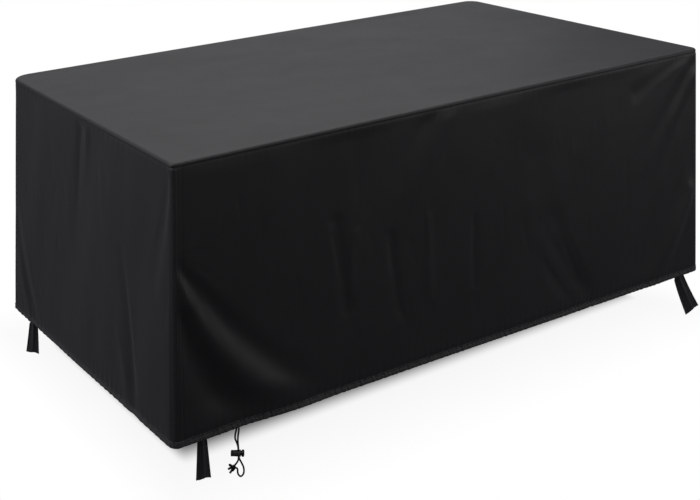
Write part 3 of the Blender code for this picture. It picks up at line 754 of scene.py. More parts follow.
def fine_relief(side, along, down):
    """The creases and soft crumpling on top of the solid's folds."""
    length = hem_length(side)
    points = np.stack([along, down], axis=1)
    out = soft_waves(SEED + 10 + side, along, down * 0.55, SIDES[side][6] * MM, 0.26, 0.06)
    for wave, ease in zip(RIPPLES, RIPPLE_EASE):
        out -= ease * ripple(side, along, down, wave)
    for crease in SIDES[side][2]:
        add_fold(out, points, crease, taper=0.3)
    for mark in faint_marks(side, SIDES[side][5]):
        add_fold(out, points, mark, taper=0.35)
    return out * hold(along, down, length)


# ---- meshes ------------------------------------------------------------------------------

def grid_mesh(name, points, uv, finish, closed=False, ends=False, sharp=None, seam=None):
    """A surface through a grid of points (rows, columns), with its own map.

    A closed grid joins its last column to its first, and its map has one column more.
    """
    rows, columns = points.shape[:2]
    index = np.arange(rows * columns).reshape(rows, columns)
    if closed:
        index = np.hstack([index, index[:, :1]])
    quads = np.stack([index[:-1, :-1], index[1:, :-1], index[1:, 1:], index[:-1, 1:]], axis=-1)
    maps = np.stack([uv[:-1, :-1], uv[1:, :-1], uv[1:, 1:], uv[:-1, 1:]], axis=-2)
    faces = quads.reshape(-1, 4).tolist()
    corners = maps.reshape(-1, 2)
    if ends:
        faces += [index[0, :-1].tolist(), index[-1, :-1][::-1].tolist()]
        corners = np.vstack([corners, uv[0, :-1], uv[-1, :-1][::-1]])
    mesh = bpy.data.meshes.new(name)
    mesh.from_pydata(points.reshape(-1, 3).tolist(), [], faces)
    layer = mesh.uv_layers.new(name="cloth_map")
    layer.data.foreach_set("uv", corners.astype(np.float32).ravel())
    mark_seams(mesh, np.zeros(len(mesh.vertices)) if seam is None else seam.ravel())
    return new_piece(name, mesh, finish, sharp)


def mark_seams(mesh, values):
    attribute_ = mesh.attributes.new("seam_near", "FLOAT", "POINT")
    attribute_.data.foreach_set("value", np.asarray(values, dtype=np.float32))


def new_piece(name, mesh, finish, sharp=None):
    obj = bpy.data.objects.new(name, mesh)
    bpy.context.scene.collection.objects.link(obj)
    mesh.materials.append(finish)
    mesh.shade_smooth()
    if sharp:
        mesh.set_sharp_from_angle(angle=math.radians(sharp))
    return obj


def faces_out(obj):
    form = bmesh.new()
    form.from_mesh(obj.data)
    bmesh.ops.recalc_face_normals(form, faces=form.faces)
    form.to_mesh(obj.data)
    form.free()
    return obj


def only(obj):
    """Leaves nothing but obj selected and active."""
    for other in bpy.context.selected_objects:
        other.select_set(False)
    obj.select_set(True)
    bpy.context.view_layer.objects.active = obj


def thicken(obj, thick, offset=-1.0):
    wall = obj.modifiers.new("thickness", "SOLIDIFY")
    wall.thickness = thick
    wall.offset = offset
    wall.use_even_offset = False
    only(obj)
    bpy.ops.object.modifier_apply(modifier=wall.name)
    return obj


# ---- cloth -------------------------------------------------------------------------------

NEAR_COLUMNS = (0.4, 2.0, 4.0, 6.0, 8.0, 9.4, 10.2, 11.0, 13.0, 16.0, 20.0, 22.6, 23.6, 24.6, 26.0,
                30.0, 36.0, 43.0, 51.0, 60.0)
LAP = (-2.6, -1.8, -0.8)  # how far a wall laps over the one before it (mm)
FELLED = 0.0010         # how far the lapped seam stands out
FELLED_WIDE = 0.0100
SECOND_ROW = 0.0236     # the seam's second row of stitches, from the corner
TUCK = 0.0011           # how far the skirt starts behind the top's turned edge
SHEET = 0.0009          # how thick the sheets are
GROOVE, GROOVE_WIDE = 0.0028, 0.0031    # where the stitches pull the cloth in above the hem


def wall_columns(count, lap=()):
    """Columns along a wall, closer at its seams. `lap` adds some past the corner it starts from."""
    near = [(d * MM, 0.0) for d in tuple(lap) + NEAR_COLUMNS]
    reach = NEAR_COLUMNS[-1] * MM
    middle = [(reach - 2 * reach * s, s) for s in np.linspace(0, 1, count + 1)[1:-1]]
    far = [(-d * MM, 1.0) for d in reversed(((0.0,) if lap else ()) + NEAR_COLUMNS)]
    return np.array(near + middle + far)


def even_columns(count, inset):
    """Evenly spaced columns along a wall, the first and last a little way (m) in from its ends."""
    shares = np.linspace(0.0, 1.0, count)
    return np.column_stack([inset - 2 * inset * shares, shares])


def seam_relief(run, total, down):
    """The lapped corner seam on a wall's left end, a plain one on its right, and the top tuck."""
    lap = FELLED * (1 - smooth((run - FELLED_WIDE + 0.0004) / 0.0011))
    pull = -0.0006 * np.exp(-((run - SECOND_ROW) / 0.0011) ** 2)
    pull -= 0.0005 * np.exp(-((total - run - 0.007) / 0.0012) ** 2)
    tuck = -TUCK * (1 - smooth((down - SEAM_DROP - 0.001) / 0.007))
    free = smooth((down - SEAM_DROP) / 0.006)
    return (lap + pull) * free + tuck


def seam_hold(run, total):
    return smooth(run / 0.012) * smooth((total - run) / 0.012)


def puckers(side, run, total, down):
    """Small gathers that run off the seams into the cloth."""
    chance = np.random.default_rng(SEED + 40 + side)
    out = np.zeros(len(run))
    for _ in range(3):
        long = chance.uniform(0.016, 0.034)
        out += np.sin(2 * math.pi * run / long + chance.uniform(0, 6.28))
    depth = np.exp(-np.maximum(down - SEAM_DROP, 0) / 0.016) * 0.00022
    depth = depth + np.exp(-np.maximum(DROP - HEM - down, 0) / 0.024) * 0.00030
    free = smooth(run / 0.05) * smooth((total - run) / 0.05)
    groove = GROOVE * free * np.exp(-((DROP - HEM - 0.0010 - down) / GROOVE_WIDE) ** 2)
    return out * depth - groove


def wall_surface(side, down, columns):
    """Points, normals and path lengths on a wall's finished face, at depths and columns (N)."""
    level = down / DROP
    plan, facing, along, run, total = wall_at(side, level, columns)
    out = (relief(side, along, down) + fine_relief(side, along, down)) * seam_hold(run, total)
    out += seam_relief(run, total, down) + puckers(side, run, total, down)
    face = plan + facing * out[:, None]
    points = np.column_stack([face, height(plan, level)])
    return points, np.column_stack([facing, np.zeros(len(facing))]), run, total


def wall_sheet(side, finish):
    """One wall of the skirt, from the top seam to behind the hem's upper edge."""
    name, _, _, count, rows, *_ = SIDES[side]
    columns = wall_columns(count, LAP)
    first = SEAM_DROP + GAP
    depths = np.concatenate([first + np.array((0, 0.8, 1.8, 3.0, 4.5, 6.5)) * MM,
                             np.linspace(first + 0.009, DROP - HEM + 0.004, rows)])
    down = np.repeat(depths, len(columns))
    across = np.tile(columns, (len(depths), 1))
    points, _, run, total = wall_surface(side, down, across)
    shape = (len(depths), len(columns))
    uv = np.stack([run, -down], axis=-1).reshape(*shape, 2)
    edge = np.minimum(run, total - run)
    seam = np.maximum(np.exp(-(edge / 0.006) ** 2), np.exp(-((down - SEAM_DROP) / 0.006) ** 2))
    seam = np.maximum(seam, 0.8 * np.exp(-((down - DROP + HEM) / 0.008) ** 2))
    obj = grid_mesh("skirt_" + name + "_cloth", points.reshape(*shape, 3), uv, finish, seam=seam)
    return thicken(obj, SHEET)


# Hem's section: mm out of the wall and share of its depth from its upper edge, all the way round
HEM_SECTION = (
    (0.1, -0.02, 0.0), (1.3, 0.0, 0.1), (1.7, 0.07, 0.25), (1.2, 0.15, 0.35), (2.0, 0.26, 0.8),
    (2.5, 0.42, 1.1), (2.6, 0.58, 1.2), (2.5, 0.74, 1.1), (2.1, 0.88, 0.7), (1.2, 0.97, 0.4),
    (-0.6, 1.0, 0.3), (-2.2, 0.96, 0.3), (-3.2, 0.80, 0.3), (-3.4, 0.50, 0.2), (-2.6, 0.20, 0.1),
    (-0.6, -0.02, 0.0),
)
HEM_STEP = 0.0024
HEM_GATHER = (1.15, 0.80, 0.90, 0.60)    # how high each side's gathers stand (mm)


def gather(run, seed):
    """The gathers of the drawn hem: uneven and crowded, about -1 to 1."""
    chance = np.random.default_rng(seed)
    drift = soft_waves(seed + 1, run, run * 0, 0.006, 0.30, 0.05, 8)
    out = np.zeros(len(run))
    for long, push in ((0.0074, 0.7), (0.0098, 0.8), (0.0131, 0.7), (0.0192, 0.5), (0.041, 0.4)):
        out += push * np.sin(2 * math.pi * (run + drift) / long + chance.uniform(0, 6.28))
    return out / 1.7


def hem_piece(side, finish):
    """The hem: the wall's lower edge turned up and drawn in over its cord."""
    name = SIDES[side][0]
    total = wall_at(side, np.array([1.0]), np.array([[0.0, 1.0]]))[4][0]
    count = round(total / HEM_STEP) + 1
    columns = even_columns(count, 0.0002)
    base = np.full(count, DROP - 0.3 * HEM)
    points, normals, run, _ = wall_surface(side, base, columns)
    waves, edge_waves = gather(run, SEED + 60 + side), gather(run * 0.7, SEED + 80 + side)
    clear = 0.2 + 0.8 * smooth(run / 0.05) * smooth((run[-1] - run) / 0.05)
    down_way = wall_surface(side, np.full(count, DROP), columns)[0]
    up_way = wall_surface(side, np.full(count, DROP - HEM), columns)[0]
    grid = []
    for out, share, free in HEM_SECTION:
        line = up_way * (1 - share) + down_way * share
        gathers = HEM_GATHER[side] * waves + 0.25 * edge_waves * share
        push = out * (0.3 + 0.7 * clear) + free * gathers * clear
        line = line + normals * (push * MM)[:, None]
        line[:, 2] += 0.45 * MM * edge_waves * max(share, 0.0) ** 3
        grid.append(line)
    grid = np.array(grid).transpose(1, 0, 2)
    around = lengths_along(np.vstack([grid[0], grid[0][:1]]))
    uv = np.stack([np.repeat(run[:, None], len(around), 1), np.tile(around, (len(run), 1))], axis=-1)
    seam = np.tile(np.array([0.9 if 0.6 < s[1] < 1.1 else 0.35 for s in HEM_SECTION]), (len(run), 1))
    seam = seam * np.clip(0.55 + 0.45 * waves[:, None], 0, 1)
    obj = grid_mesh("hem_" + name, grid, uv, finish, closed=True, ends=True, sharp=60, seam=seam)
    return faces_out(obj)


def full_outline(level, counts):
    """The whole outline at a level: plan points and outward normals, once round."""
    plans, normals = [], []
    for side, count in enumerate(counts):
        columns = wall_columns(count)
        plan, facing, *_ = wall_at(side, np.full(len(columns), level), columns)
        plans.append(plan)
        normals.append(facing)
    return np.vstack(plans), np.vstack(normals)


TOP_COUNTS = (90, 50, 90, 50)
TOP_SCALES = 64
TOP_REACH = 0.45        # about how far it is from the top's middle to its edge


def top_unevenness(plan):
    rise = np.zeros(len(plan))
    for waves_along, waves_across, high in TOP_RIPPLES:
        phase = waves_along * plan[:, 0] / TOP_LENGTH + waves_across * plan[:, 1] / TOP_WIDTH
        rise += high * MM * np.sin(2 * math.pi * phase)
    rise += soft_waves(SEED + 5, plan[:, 0], plan[:, 1], 0.7 * MM, 0.42, 0.09, 30)
    reach = np.maximum(abs(plan[:, 0]) * 2 / TOP_LENGTH, abs(plan[:, 1]) * 2 / TOP_WIDTH)
    return rise * smooth((1 - reach) / 0.12)


def top_sheet(finish):
    """The top, its edge turned down to the seam and tucked under it."""
    rings, maps, seams = [], [], []

    def ring(plan, rise, flat, seam):
        rings.append(np.column_stack([plan, rise]))
        maps.append(flat)
        seams.append(seam)

    outline, outward = full_outline(0.0, TOP_COUNTS)
    under = ((SEAM_DROP - 0.0008, -0.0030), (SEAM_DROP, -0.0016), (SEAM_DROP, -0.0004),
             (SEAM_DROP - 0.0009, 0.0003), (SEAM_DROP - 0.0025, 0.0004), (EDGE_ROUND, 0.0002))
    for down, proud in under:
        plan, facing = full_outline(down / DROP, TOP_COUNTS)
        ring(plan + facing * proud, height(plan, down / DROP), outline + outward * down, 1.0)
    for angle in np.radians((72, 54, 36, 18, 0)):
        inset = EDGE_ROUND * (1 - math.sin(angle))
        down = EDGE_ROUND * (1 - math.cos(angle))
        plan, facing = full_outline(down / DROP, TOP_COUNTS)
        plan = plan - facing * inset
        flat = outline - outward * EDGE_ROUND * (1 - angle)
        ring(plan, height(plan, down / DROP), flat, 1.0 if angle > 0.2 else 0.8)
    inner = outline - outward * EDGE_ROUND
    scales = [(1 - inset / TOP_REACH, math.exp(-(inset / 0.006) ** 2)) for inset in (0.003, 0.007, 0.013)]
    scales += [(scale, 0.0) for scale in np.linspace(1 - 0.022 / TOP_REACH, 0.02, TOP_SCALES)]
    for scale, seam in scales:
        plan = inner * scale
        ring(plan, height(plan, 0.0) + top_unevenness(plan), plan, seam)
    grid, uv = np.array(rings), np.array(maps)
    uv = np.concatenate([uv, uv[:, :1]], axis=1)
    seam = np.repeat(np.array(seams)[:, None], grid.shape[1], axis=1)
    obj = grid_mesh("top_cloth", grid[:, ::-1], uv[:, ::-1], finish, closed=True, seam=seam)
    form = bmesh.new()
    form.from_mesh(obj.data)
    rim = [e for e in form.edges if e.is_boundary and max(abs(v.co.x) for v in e.verts) < 0.1]
    bmesh.ops.holes_fill(form, edges=rim, sides=0)
    layer = form.loops.layers.uv.active
    for face in form.faces:
        if len(face.verts) > 4:
            for loop in face.loops:
                loop[layer].uv = loop.vert.co.xy
    bmesh.ops.recalc_face_normals(form, faces=form.faces)
    middle = min(form.faces, key=lambda f: f.calc_center_median().xy.length)
    if middle.normal.z < 0:
        bmesh.ops.reverse_faces(form, faces=form.faces)
    form.to_mesh(obj.data)
    form.free()
    return thicken(obj, SHEET)


# ---- stitches ----------------------------------------------------------------------------

STITCH, STITCH_PITCH, THREAD = 0.0029, 0.0037, 0.00030
ROW_INSET = 0.002       # how far from a wall's ends its level rows of stitches start


def one_stitch():
    """One visible stitch of thread: a short strand that dives into the cloth at both ends."""
    bpy.ops.object.select_all(action="DESELECT")
    bpy.ops.mesh.primitive_cylinder_add(vertices=6, radius=THREAD, depth=STITCH * 0.56,
                                        rotation=(0, math.pi / 2, 0))
    strand = bpy.context.object
    bpy.ops.object.transform_apply(location=True, rotation=True, scale=True)
    bpy.ops.object.mode_set(mode="EDIT")
    for way in (-1, 1):
        bpy.ops.mesh.select_all(action="DESELECT")
        form = bmesh.from_edit_mesh(strand.data)
        form.faces.ensure_lookup_table()
        for face in form.faces:
            face.select = face.normal.x * way > 0.9
        bmesh.update_edit_mesh(strand.data)
        bpy.ops.mesh.extrude_region_move(TRANSFORM_OT_translate={
            "value": (way * STITCH * 0.22, 0, -THREAD * 1.3)})
        bpy.ops.transform.resize(value=(1.0, 0.7, 0.7))
    bpy.ops.object.mode_set(mode="OBJECT")
    points = np.array([v.co for v in strand.data.vertices])
    faces = [list(p.vertices) for p in strand.data.polygons]
    bpy.data.objects.remove(strand)
    return points, faces


def along_line(points, normals, pitch):
    """Even places along a line of points: place, normal and the way along."""
    run = lengths_along(points)
    where = np.arange(pitch / 2, run[-1] - pitch / 2, pitch)
    place = read_at(where, run, points)
    ahead = read_at(where + pitch / 4, run, points)
    return place, unit(read_at(where, run, normals)), unit(ahead - place)


def stitch_rows(name, lines, finish, stitch, pitch=STITCH_PITCH):
    """All stitches of some rows as one piece. A row is its points and normals."""
    shape, faces = stitch
    chance = np.random.default_rng(SEED + len(lines))
    verts, polys, count = [], [], 0
    for points, normals in lines:
        place, facing, way = along_line(points, normals, pitch)
        side = unit(np.cross(facing, way))
        facing = np.cross(way, side)
        slant = chance.normal(0, 0.05, len(place))
        way = unit(way + side * slant[:, None])
        for p, n, w, s in zip(place, facing, way, side):
            verts.append(p + n * THREAD * 0.45 + shape[:, :1] * w + shape[:, 1:2] * s + shape[:, 2:3] * n)
            polys += [[v + count for v in face] for face in faces]
            count += len(shape)
    mesh = bpy.data.meshes.new(name)
    mesh.from_pydata(np.vstack(verts).tolist(), [], polys)
    return faces_out(new_piece(name, mesh, finish, 50))


def level_row(side, down):
    """A row of stitches along a wall at one depth."""
    count = round(hem_length(side) / 0.006)
    points, normals, *_ = wall_surface(side, np.full(count, down), even_columns(count, ROW_INSET))
    return points, normals


def upright_row(side, from_left):
    """A row of stitches down a wall, at metres from its left end."""
    depths = np.linspace(0.02, DROP - HEM - 0.002, 130)
    points, normals, *_ = wall_surface(side, depths, np.tile((from_left, 0.0), (130, 1)))
    return points, normals


def hem_row(side):
    """The stitches that close the hem, a little under its upper edge."""
    count = round(hem_length(side) / HEM_STEP)
    columns = even_columns(count, ROW_INSET)
    points, normals, run, _ = wall_surface(side, np.full(count, DROP - HEM * 0.86), columns)
    waves = gather(run, SEED + 60 + side)
    return points + normals * ((1.45 + 0.32 * HEM_GATHER[side] * waves) * MM)[:, None], normals


# ---- webbing tails -----------------------------------------------------------------------

def hem_point(side, along_mm, inset):
    """A point of a wall's lower edge on the solid, its outward normal and the way along it."""
    first, last = corner(side, 1.0)[0], corner(side + 1, 1.0)[0]
    walk = unit(last - first)
    normal = np.array((walk[1], -walk[0]))
    plan = first + (last - first) * (along_mm * MM / hem_length(side))
    out = relief(side, np.array([along_mm * MM]), np.array([DROP]))[0]
    place = np.append(plan + normal * (out + HEM_PROUD - inset), height(plan, 1.0))
    return place, np.append(normal, 0.0), np.append(walk, 0.0)


def tail_surface(row, down, across):
    """The tail's middle surface: place and facing at a depth (m) and shares of its width."""
    _, side, along_mm, free, lean_along, lean_out, turn, top, end = row
    root, normal, walk = hem_point(side, along_mm, HEM_THICK + TAIL_CLEAR + TAIL_THICK / 2 + TAIL_PLEAT)
    free = free * MM
    share = max(down, 0.0) / free
    angle = math.radians(turn) * float(smooth(max(down, 0.0) / TAIL_TURN_IN))
    lie = walk * math.cos(angle) + normal * math.sin(angle)
    look = normal * math.cos(angle) - walk * math.sin(angle)
    tilt = math.atan2(LEAN_CURVE * lean_along * MM * share ** (LEAN_CURVE - 1), free)
    lie = lie * math.cos(tilt) + np.array((0, 0, math.sin(tilt)))
    centre = root + np.array((0, 0, -down))
    centre = centre + (walk * lean_along + normal * lean_out) * MM * share ** LEAN_CURVE
    centre = centre + normal * min(down, 0.0) * FLARE / DROP
    width = (top * (1 - share) + end * share) * MM
    pleat = TAIL_PLEAT * np.cos(3 * math.pi * across) * (1 - 0.45 * share)
    pleat += 0.0005 * np.sin(7.4 * math.pi * across + 1.1) * (1 - 0.3 * share)
    line = centre + np.outer(across * width, lie) + np.outer(pleat, look)
    line[:, 2] += TAIL_WAVE * share * np.sin(2.4 * math.pi * (across + 0.1))
    return line, look


def webbing_tail(row, finish, thread, stitch):
    """A webbing tail: pleated where it is sewn, its edges turned, its end hemmed and stitched."""
    name, free, top, end = row[0], row[3] * MM, row[7] * MM, row[8] * MM
    across = np.concatenate([[-0.5, -0.485], np.linspace(-0.46, 0.46, 25), [0.485, 0.5]])
    depths = np.concatenate([np.linspace(-TAIL_SEWN, 0, 5), np.linspace(0.003, free - 0.010, 30),
                             free - np.array((8.6, 8.0, 7.4, 5.0, 2.6, 0.9, 0.0)) * MM])
    edge = np.exp(-((0.5 - abs(across)) / 0.035) ** 2)
    front, back, uv, seam = [], [], [], []
    for down in depths:
        line, look = tail_surface(row, down, across)
        width = top + (end - top) * max(down, 0) / free
        turned = 0.0004 if down > free - 0.0078 else 0.0
        half = TAIL_THICK / 2 * (0.62 + 0.25 * edge) + turned
        front.append(line + look * half[:, None])
        back.append(line - look * half[:, None])
        uv.append(np.column_stack([across * width, np.full(len(across), -down)]))
        seam.append(np.maximum(edge, 1.0 if down > free - 0.0015 else 0.0))
    front, back, uv, seam = (np.array(part) for part in (front, back, uv, seam))
    grid = np.concatenate([front, back[:, ::-1]], axis=1)
    maps = np.concatenate([uv, uv[:, ::-1], uv[:, :1]], axis=1)
    seam = np.concatenate([seam, seam[:, ::-1]], axis=1)
    obj = grid_mesh("tail_" + name, grid, maps, finish, closed=True, ends=True, sharp=55, seam=seam)
    faces_out(obj)
    rows = []
    for down in (free - 0.0066, free - 0.0022):
        line, look = tail_surface(row, down, np.linspace(-0.45, 0.45, 30))
        rows.append((line + look * (TAIL_THICK / 2 * 0.62 + 0.0004), np.tile(look, (30, 1))))
    sewn = stitch_rows("tail_" + name + "_stitches", rows, thread, stitch, 0.0032)
    return obj, sewn


# ---- drawcord ----------------------------------------------------------------------------

def cord_frame():
    place, _, _ = hem_point(0, CORD_EXIT_ALONG, HEM_THICK / 2)
    return Matrix.Translation(Vector(place)) @ Matrix.Rotation(CORD_TURN, 4, "Z")


def smooth_route(route, step):
    """Even points on a smooth curve through a route's points, step apart."""
    points = np.array(route, dtype=float)
    padded = np.vstack([2 * points[0] - points[1], points, 2 * points[-1] - points[-2]])
    dense = []
    for k in range(len(points) - 1):
        p0, p1, p2, p3 = padded[k:k + 4]
        for t in np.linspace(0, 1, 12, endpoint=False):
            dense.append(0.5 * (2 * p1 + (p2 - p0) * t + (2 * p0 - 5 * p1 + 4 * p2 - p3) * t ** 2
                                + (3 * p1 - p0 - 3 * p2 + p3) * t ** 3))
    dense = np.array(dense + [points[-1]])
    run = lengths_along(dense)
    count = max(2, round(run[-1] / step)) + 1
    return read_at(np.linspace(0, run[-1], count), run, dense)


def tube(name, line, radius, finish, sides=14, round_end=False):
    """A tube round a line of points (m), with its own map: turns round it, diameters along it."""
    radii = np.full(len(line), radius)
    if round_end:
        way = unit(line[-1] - line[-2])
        cap = radius * np.array((0.0, 0.35, 0.6, 0.8))
        line = np.vstack([line[:-1], line[-1] - way * radius * 0.8 + way * cap[:, None]])
        radii = np.concatenate([np.full(len(line) - 4, radius),
                                radius * np.array((1.06, 1.04, 0.86, 0.45))])
    ahead = unit(np.gradient(line, axis=0))
    side = np.zeros_like(line)
    side[0] = unit(np.cross(ahead[0], (0.3, 0.9, 0.2)))
    for k in range(1, len(line)):
        side[k] = unit(side[k - 1] - ahead[k] * (side[k - 1] @ ahead[k]))
    other = np.cross(ahead, side)
    angle = np.linspace(0, 2 * math.pi, sides, endpoint=False)
    ring = np.cos(angle)[None, :, None] * side[:, None] + np.sin(angle)[None, :, None] * other[:, None]
    grid = line[:, None] + ring * radii[:, None, None]
    run = lengths_along(line)
    turns = np.linspace(0, 1, sides + 1)
    uv = np.stack([np.tile(turns, (len(line), 1)),
                   np.repeat((run / (2 * radius))[:, None], sides + 1, 1)], axis=-1)
    return faces_out(grid_mesh(name, grid, uv, finish, closed=True, ends=True))


def in_frame(place, points_mm):
    return np.array([place @ Vector(p * MM) for p in np.asarray(points_mm, dtype=float)])


def join(name, parts):
    """Joins pieces into the first, under a new name."""
    bpy.ops.object.select_all(action="DESELECT")
    for part in parts:
        part.select_set(True)
    bpy.context.view_layer.objects.active = parts[0]
    bpy.ops.object.join()
    parts[0].name = name
    parts[0].data.name = name
    return parts[0]


def knot_line():
    """A tight overhand knot: a line that passes three times round itself."""
    t = np.linspace(0, 2 * math.pi, 120, endpoint=False)[:117]
    x = np.sin(t) + 2 * np.sin(2 * t)
    y = -np.sin(3 * t)
    z = np.cos(t) - 2 * np.cos(2 * t)
    reach = np.array(KNOT_HALF) - CORD / MM / 2
    return np.column_stack([x / 2.7 * reach[0], y * reach[1] * 0.75, z / 2.8 * reach[2]]) + KNOT_AT


# ---- cord lock, modelled as a turned and slotted plastic part ----------------------------

def rod(name, start, end, radius, sides=40):
    """A cylinder along the lock's axis, from start to end (mm)."""
    bpy.ops.object.select_all(action="DESELECT")
    bpy.ops.mesh.primitive_cylinder_add(vertices=sides, radius=radius, depth=end - start,
                                        rotation=(0, math.pi / 2, 0), location=((start + end) / 2, 0, 0))
    obj = bpy.context.object
    obj.name = obj.data.name = name
    bpy.ops.object.transform_apply(location=True, rotation=True, scale=True)
    return obj


def choose(obj, test):
    """Selects the faces of obj, which is in edit mode, that pass a test."""
    bpy.ops.mesh.select_mode(type="FACE")
    bpy.ops.mesh.select_all(action="DESELECT")
    form = bmesh.from_edit_mesh(obj.data)
    for face in form.faces:
        face.select = test(face)
    bmesh.update_edit_mesh(obj.data)


def cut_rings(obj, places):
    """Cuts edge rings round a turned piece at places along its axis."""
    for place in places:
        bpy.ops.mesh.select_all(action="SELECT")
        bpy.ops.mesh.bisect(plane_co=(place, 0, 0), plane_no=(1, 0, 0))


def resize_band(obj, start, end, factor):
    """Makes the sides of a turned piece thicker or thinner between two places."""
    choose(obj, lambda f: abs(f.normal.x) < 0.5 and start < f.calc_center_median().x < end)
    bpy.ops.transform.resize(value=(1.0, factor, factor), center_override=((start + end) / 2, 0, 0))


def slot_cutter(first, last):
    """A long block with rounded edges, to cut the cord's way through the lock."""
    bpy.ops.object.select_all(action="DESELECT")
    bpy.ops.mesh.primitive_cube_add(size=1.0, location=((first + last) / 2, 0, 0),
                                    scale=(last - first, 2 * SLOT_HALF_WIDE, 5 * BARREL_R))
    block = bpy.context.object
    bpy.ops.object.transform_apply(location=True, rotation=True, scale=True)
    bpy.ops.object.mode_set(mode="EDIT")
    form = bmesh.from_edit_mesh(block.data)
    bpy.ops.mesh.select_mode(type="EDGE")
    bpy.ops.mesh.select_all(action="DESELECT")
    for edge in form.edges:
        edge.select = abs(edge.verts[0].co.z - edge.verts[1].co.z) > 1
    bmesh.update_edit_mesh(block.data)
    bpy.ops.mesh.bevel(offset=(last - first) * 0.42, segments=4)
    bpy.ops.object.mode_set(mode="OBJECT")
    return block


def cut_with(obj, cutter):
    cut = obj.modifiers.new("slot", "BOOLEAN")
    cut.object = cutter
    cut.operation = "DIFFERENCE"
    cut.solver = "EXACT"
    only(obj)
    bpy.ops.object.modifier_apply(modifier=cut.name)
    bpy.data.objects.remove(cutter)


def finish_plastic(obj, frame_, finish, edge):
    """Rounds a lock piece's edges, shades it, and puts it at its place in metres."""
    rounding = obj.modifiers.new("edges", "BEVEL")
    rounding.width = edge
    rounding.segments = 2
    rounding.limit_method = "ANGLE"
    rounding.angle_limit = math.radians(32)
    only(obj)
    bpy.ops.object.modifier_apply(modifier=rounding.name)
    obj.data.transform(frame_ @ Matrix.Translation(Vector((0, 0, LOCK_UP * MM))) @ Matrix.Scale(MM, 4))
    obj.data.materials.clear()
    obj.data.materials.append(finish)
    bpy.ops.object.shade_smooth_by_angle(angle=math.radians(40))
    return obj


# Barrel: where rings are cut round it (mm along it), and bands made thicker or thinner (from, to, factor)
BARREL_RINGS = (-12.6, -11.9, -10.9, -10.2, -9.2, -8.5, -14.9, -14.2, 5.4, 5.9)
BARREL_BANDS = (
    (-12.6, -11.9, 0.93), (-10.9, -10.2, 0.93), (-9.2, -8.5, 0.93), (BARREL_FROM - 1, -14.2, 0.965),
    (BARREL_FROM - 1, -14.9, 0.93), (5.9, BARREL_TO + 1, 1.05),
)
BARREL_PLAIN = 0.95     # its radius before the bands, as a share
BARREL_FLOOR = 2.2      # how thick its closed end is (mm)

# Button head: each step outward (mm) and how much thicker it makes the head, then each dish (inset, depth)
HEAD_STEPS = (
    (0.001, HEAD_R * 0.94 / STEM_R), (0.8, 1.06), (HEAD_TO - HEAD_FROM - 2.2, 1.0), (1.0, 0.90), (0.4, 0.80),
)
HEAD_DISHES = ((0.7, 0.5), (2.6, 0.15))


def lock_barrel(frame_, finish):
    """The barrel: grooved grips near its closed end, a collar at its mouth, a bore and a slot."""
    obj = rod("lock_barrel_moulding", BARREL_FROM, BARREL_TO, BARREL_R * BARREL_PLAIN)
    bpy.ops.object.mode_set(mode="EDIT")
    cut_rings(obj, BARREL_RINGS)
    for band in BARREL_BANDS:
        resize_band(obj, *band)
    choose(obj, lambda f: f.normal.x < -0.9)
    bpy.ops.transform.resize(value=(1.0, 0.88, 0.88), center_override=(BARREL_FROM, 0, 0))
    bpy.ops.mesh.inset(thickness=2.2)
    bpy.ops.transform.translate(value=(0.5, 0, 0))
    choose(obj, lambda f: f.normal.x > 0.9)
    bpy.ops.mesh.inset(thickness=BARREL_R - BORE_R)
    bore = BARREL_FROM + BARREL_FLOOR - BARREL_TO
    bpy.ops.mesh.extrude_region_move(TRANSFORM_OT_translate={"value": (bore, 0, 0)})
    bpy.ops.object.mode_set(mode="OBJECT")
    cut_with(obj, slot_cutter(LOCK_CORD_AT - SLOT_SLACK, LOCK_CORD_AT + SLOT_SLACK))
    return finish_plastic(obj, frame_, finish, 0.28)


def lock_button(frame_, finish):
    """The button: a slotted stem and a stepped, dished head."""
    obj = rod("lock_button_moulding", STEM_FROM, HEAD_FROM, STEM_R)
    bpy.ops.object.mode_set(mode="EDIT")
    choose(obj, lambda f: f.normal.x > 0.9)
    for step, factor in HEAD_STEPS:
        bpy.ops.mesh.extrude_region_move(TRANSFORM_OT_translate={"value": (step, 0, 0)})
        bpy.ops.transform.resize(value=(1.0, factor, factor))
    for inset, depth in HEAD_DISHES:
        bpy.ops.mesh.inset(thickness=inset)
        bpy.ops.transform.translate(value=(-depth, 0, 0))
    bpy.ops.object.mode_set(mode="OBJECT")
    cut_with(obj, slot_cutter(LOCK_CORD_AT - SLOT_SLACK, LOCK_CORD_AT + SLOT_SLACK + TRAVEL))
    return finish_plastic(obj, frame_, finish, 0.24)


# ---- putting the cover together ----------------------------------------------------------

def dress(obj, body, slot, *nodes):
    """A piece rides on a body and stands for CAD nodes, which it hides. Its slot is not used."""
    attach(obj, body)
    if nodes:
        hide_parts(*nodes)
    return obj


def on_cover(obj, slot, *nodes):
    return dress(obj, "cover", slot, *nodes)


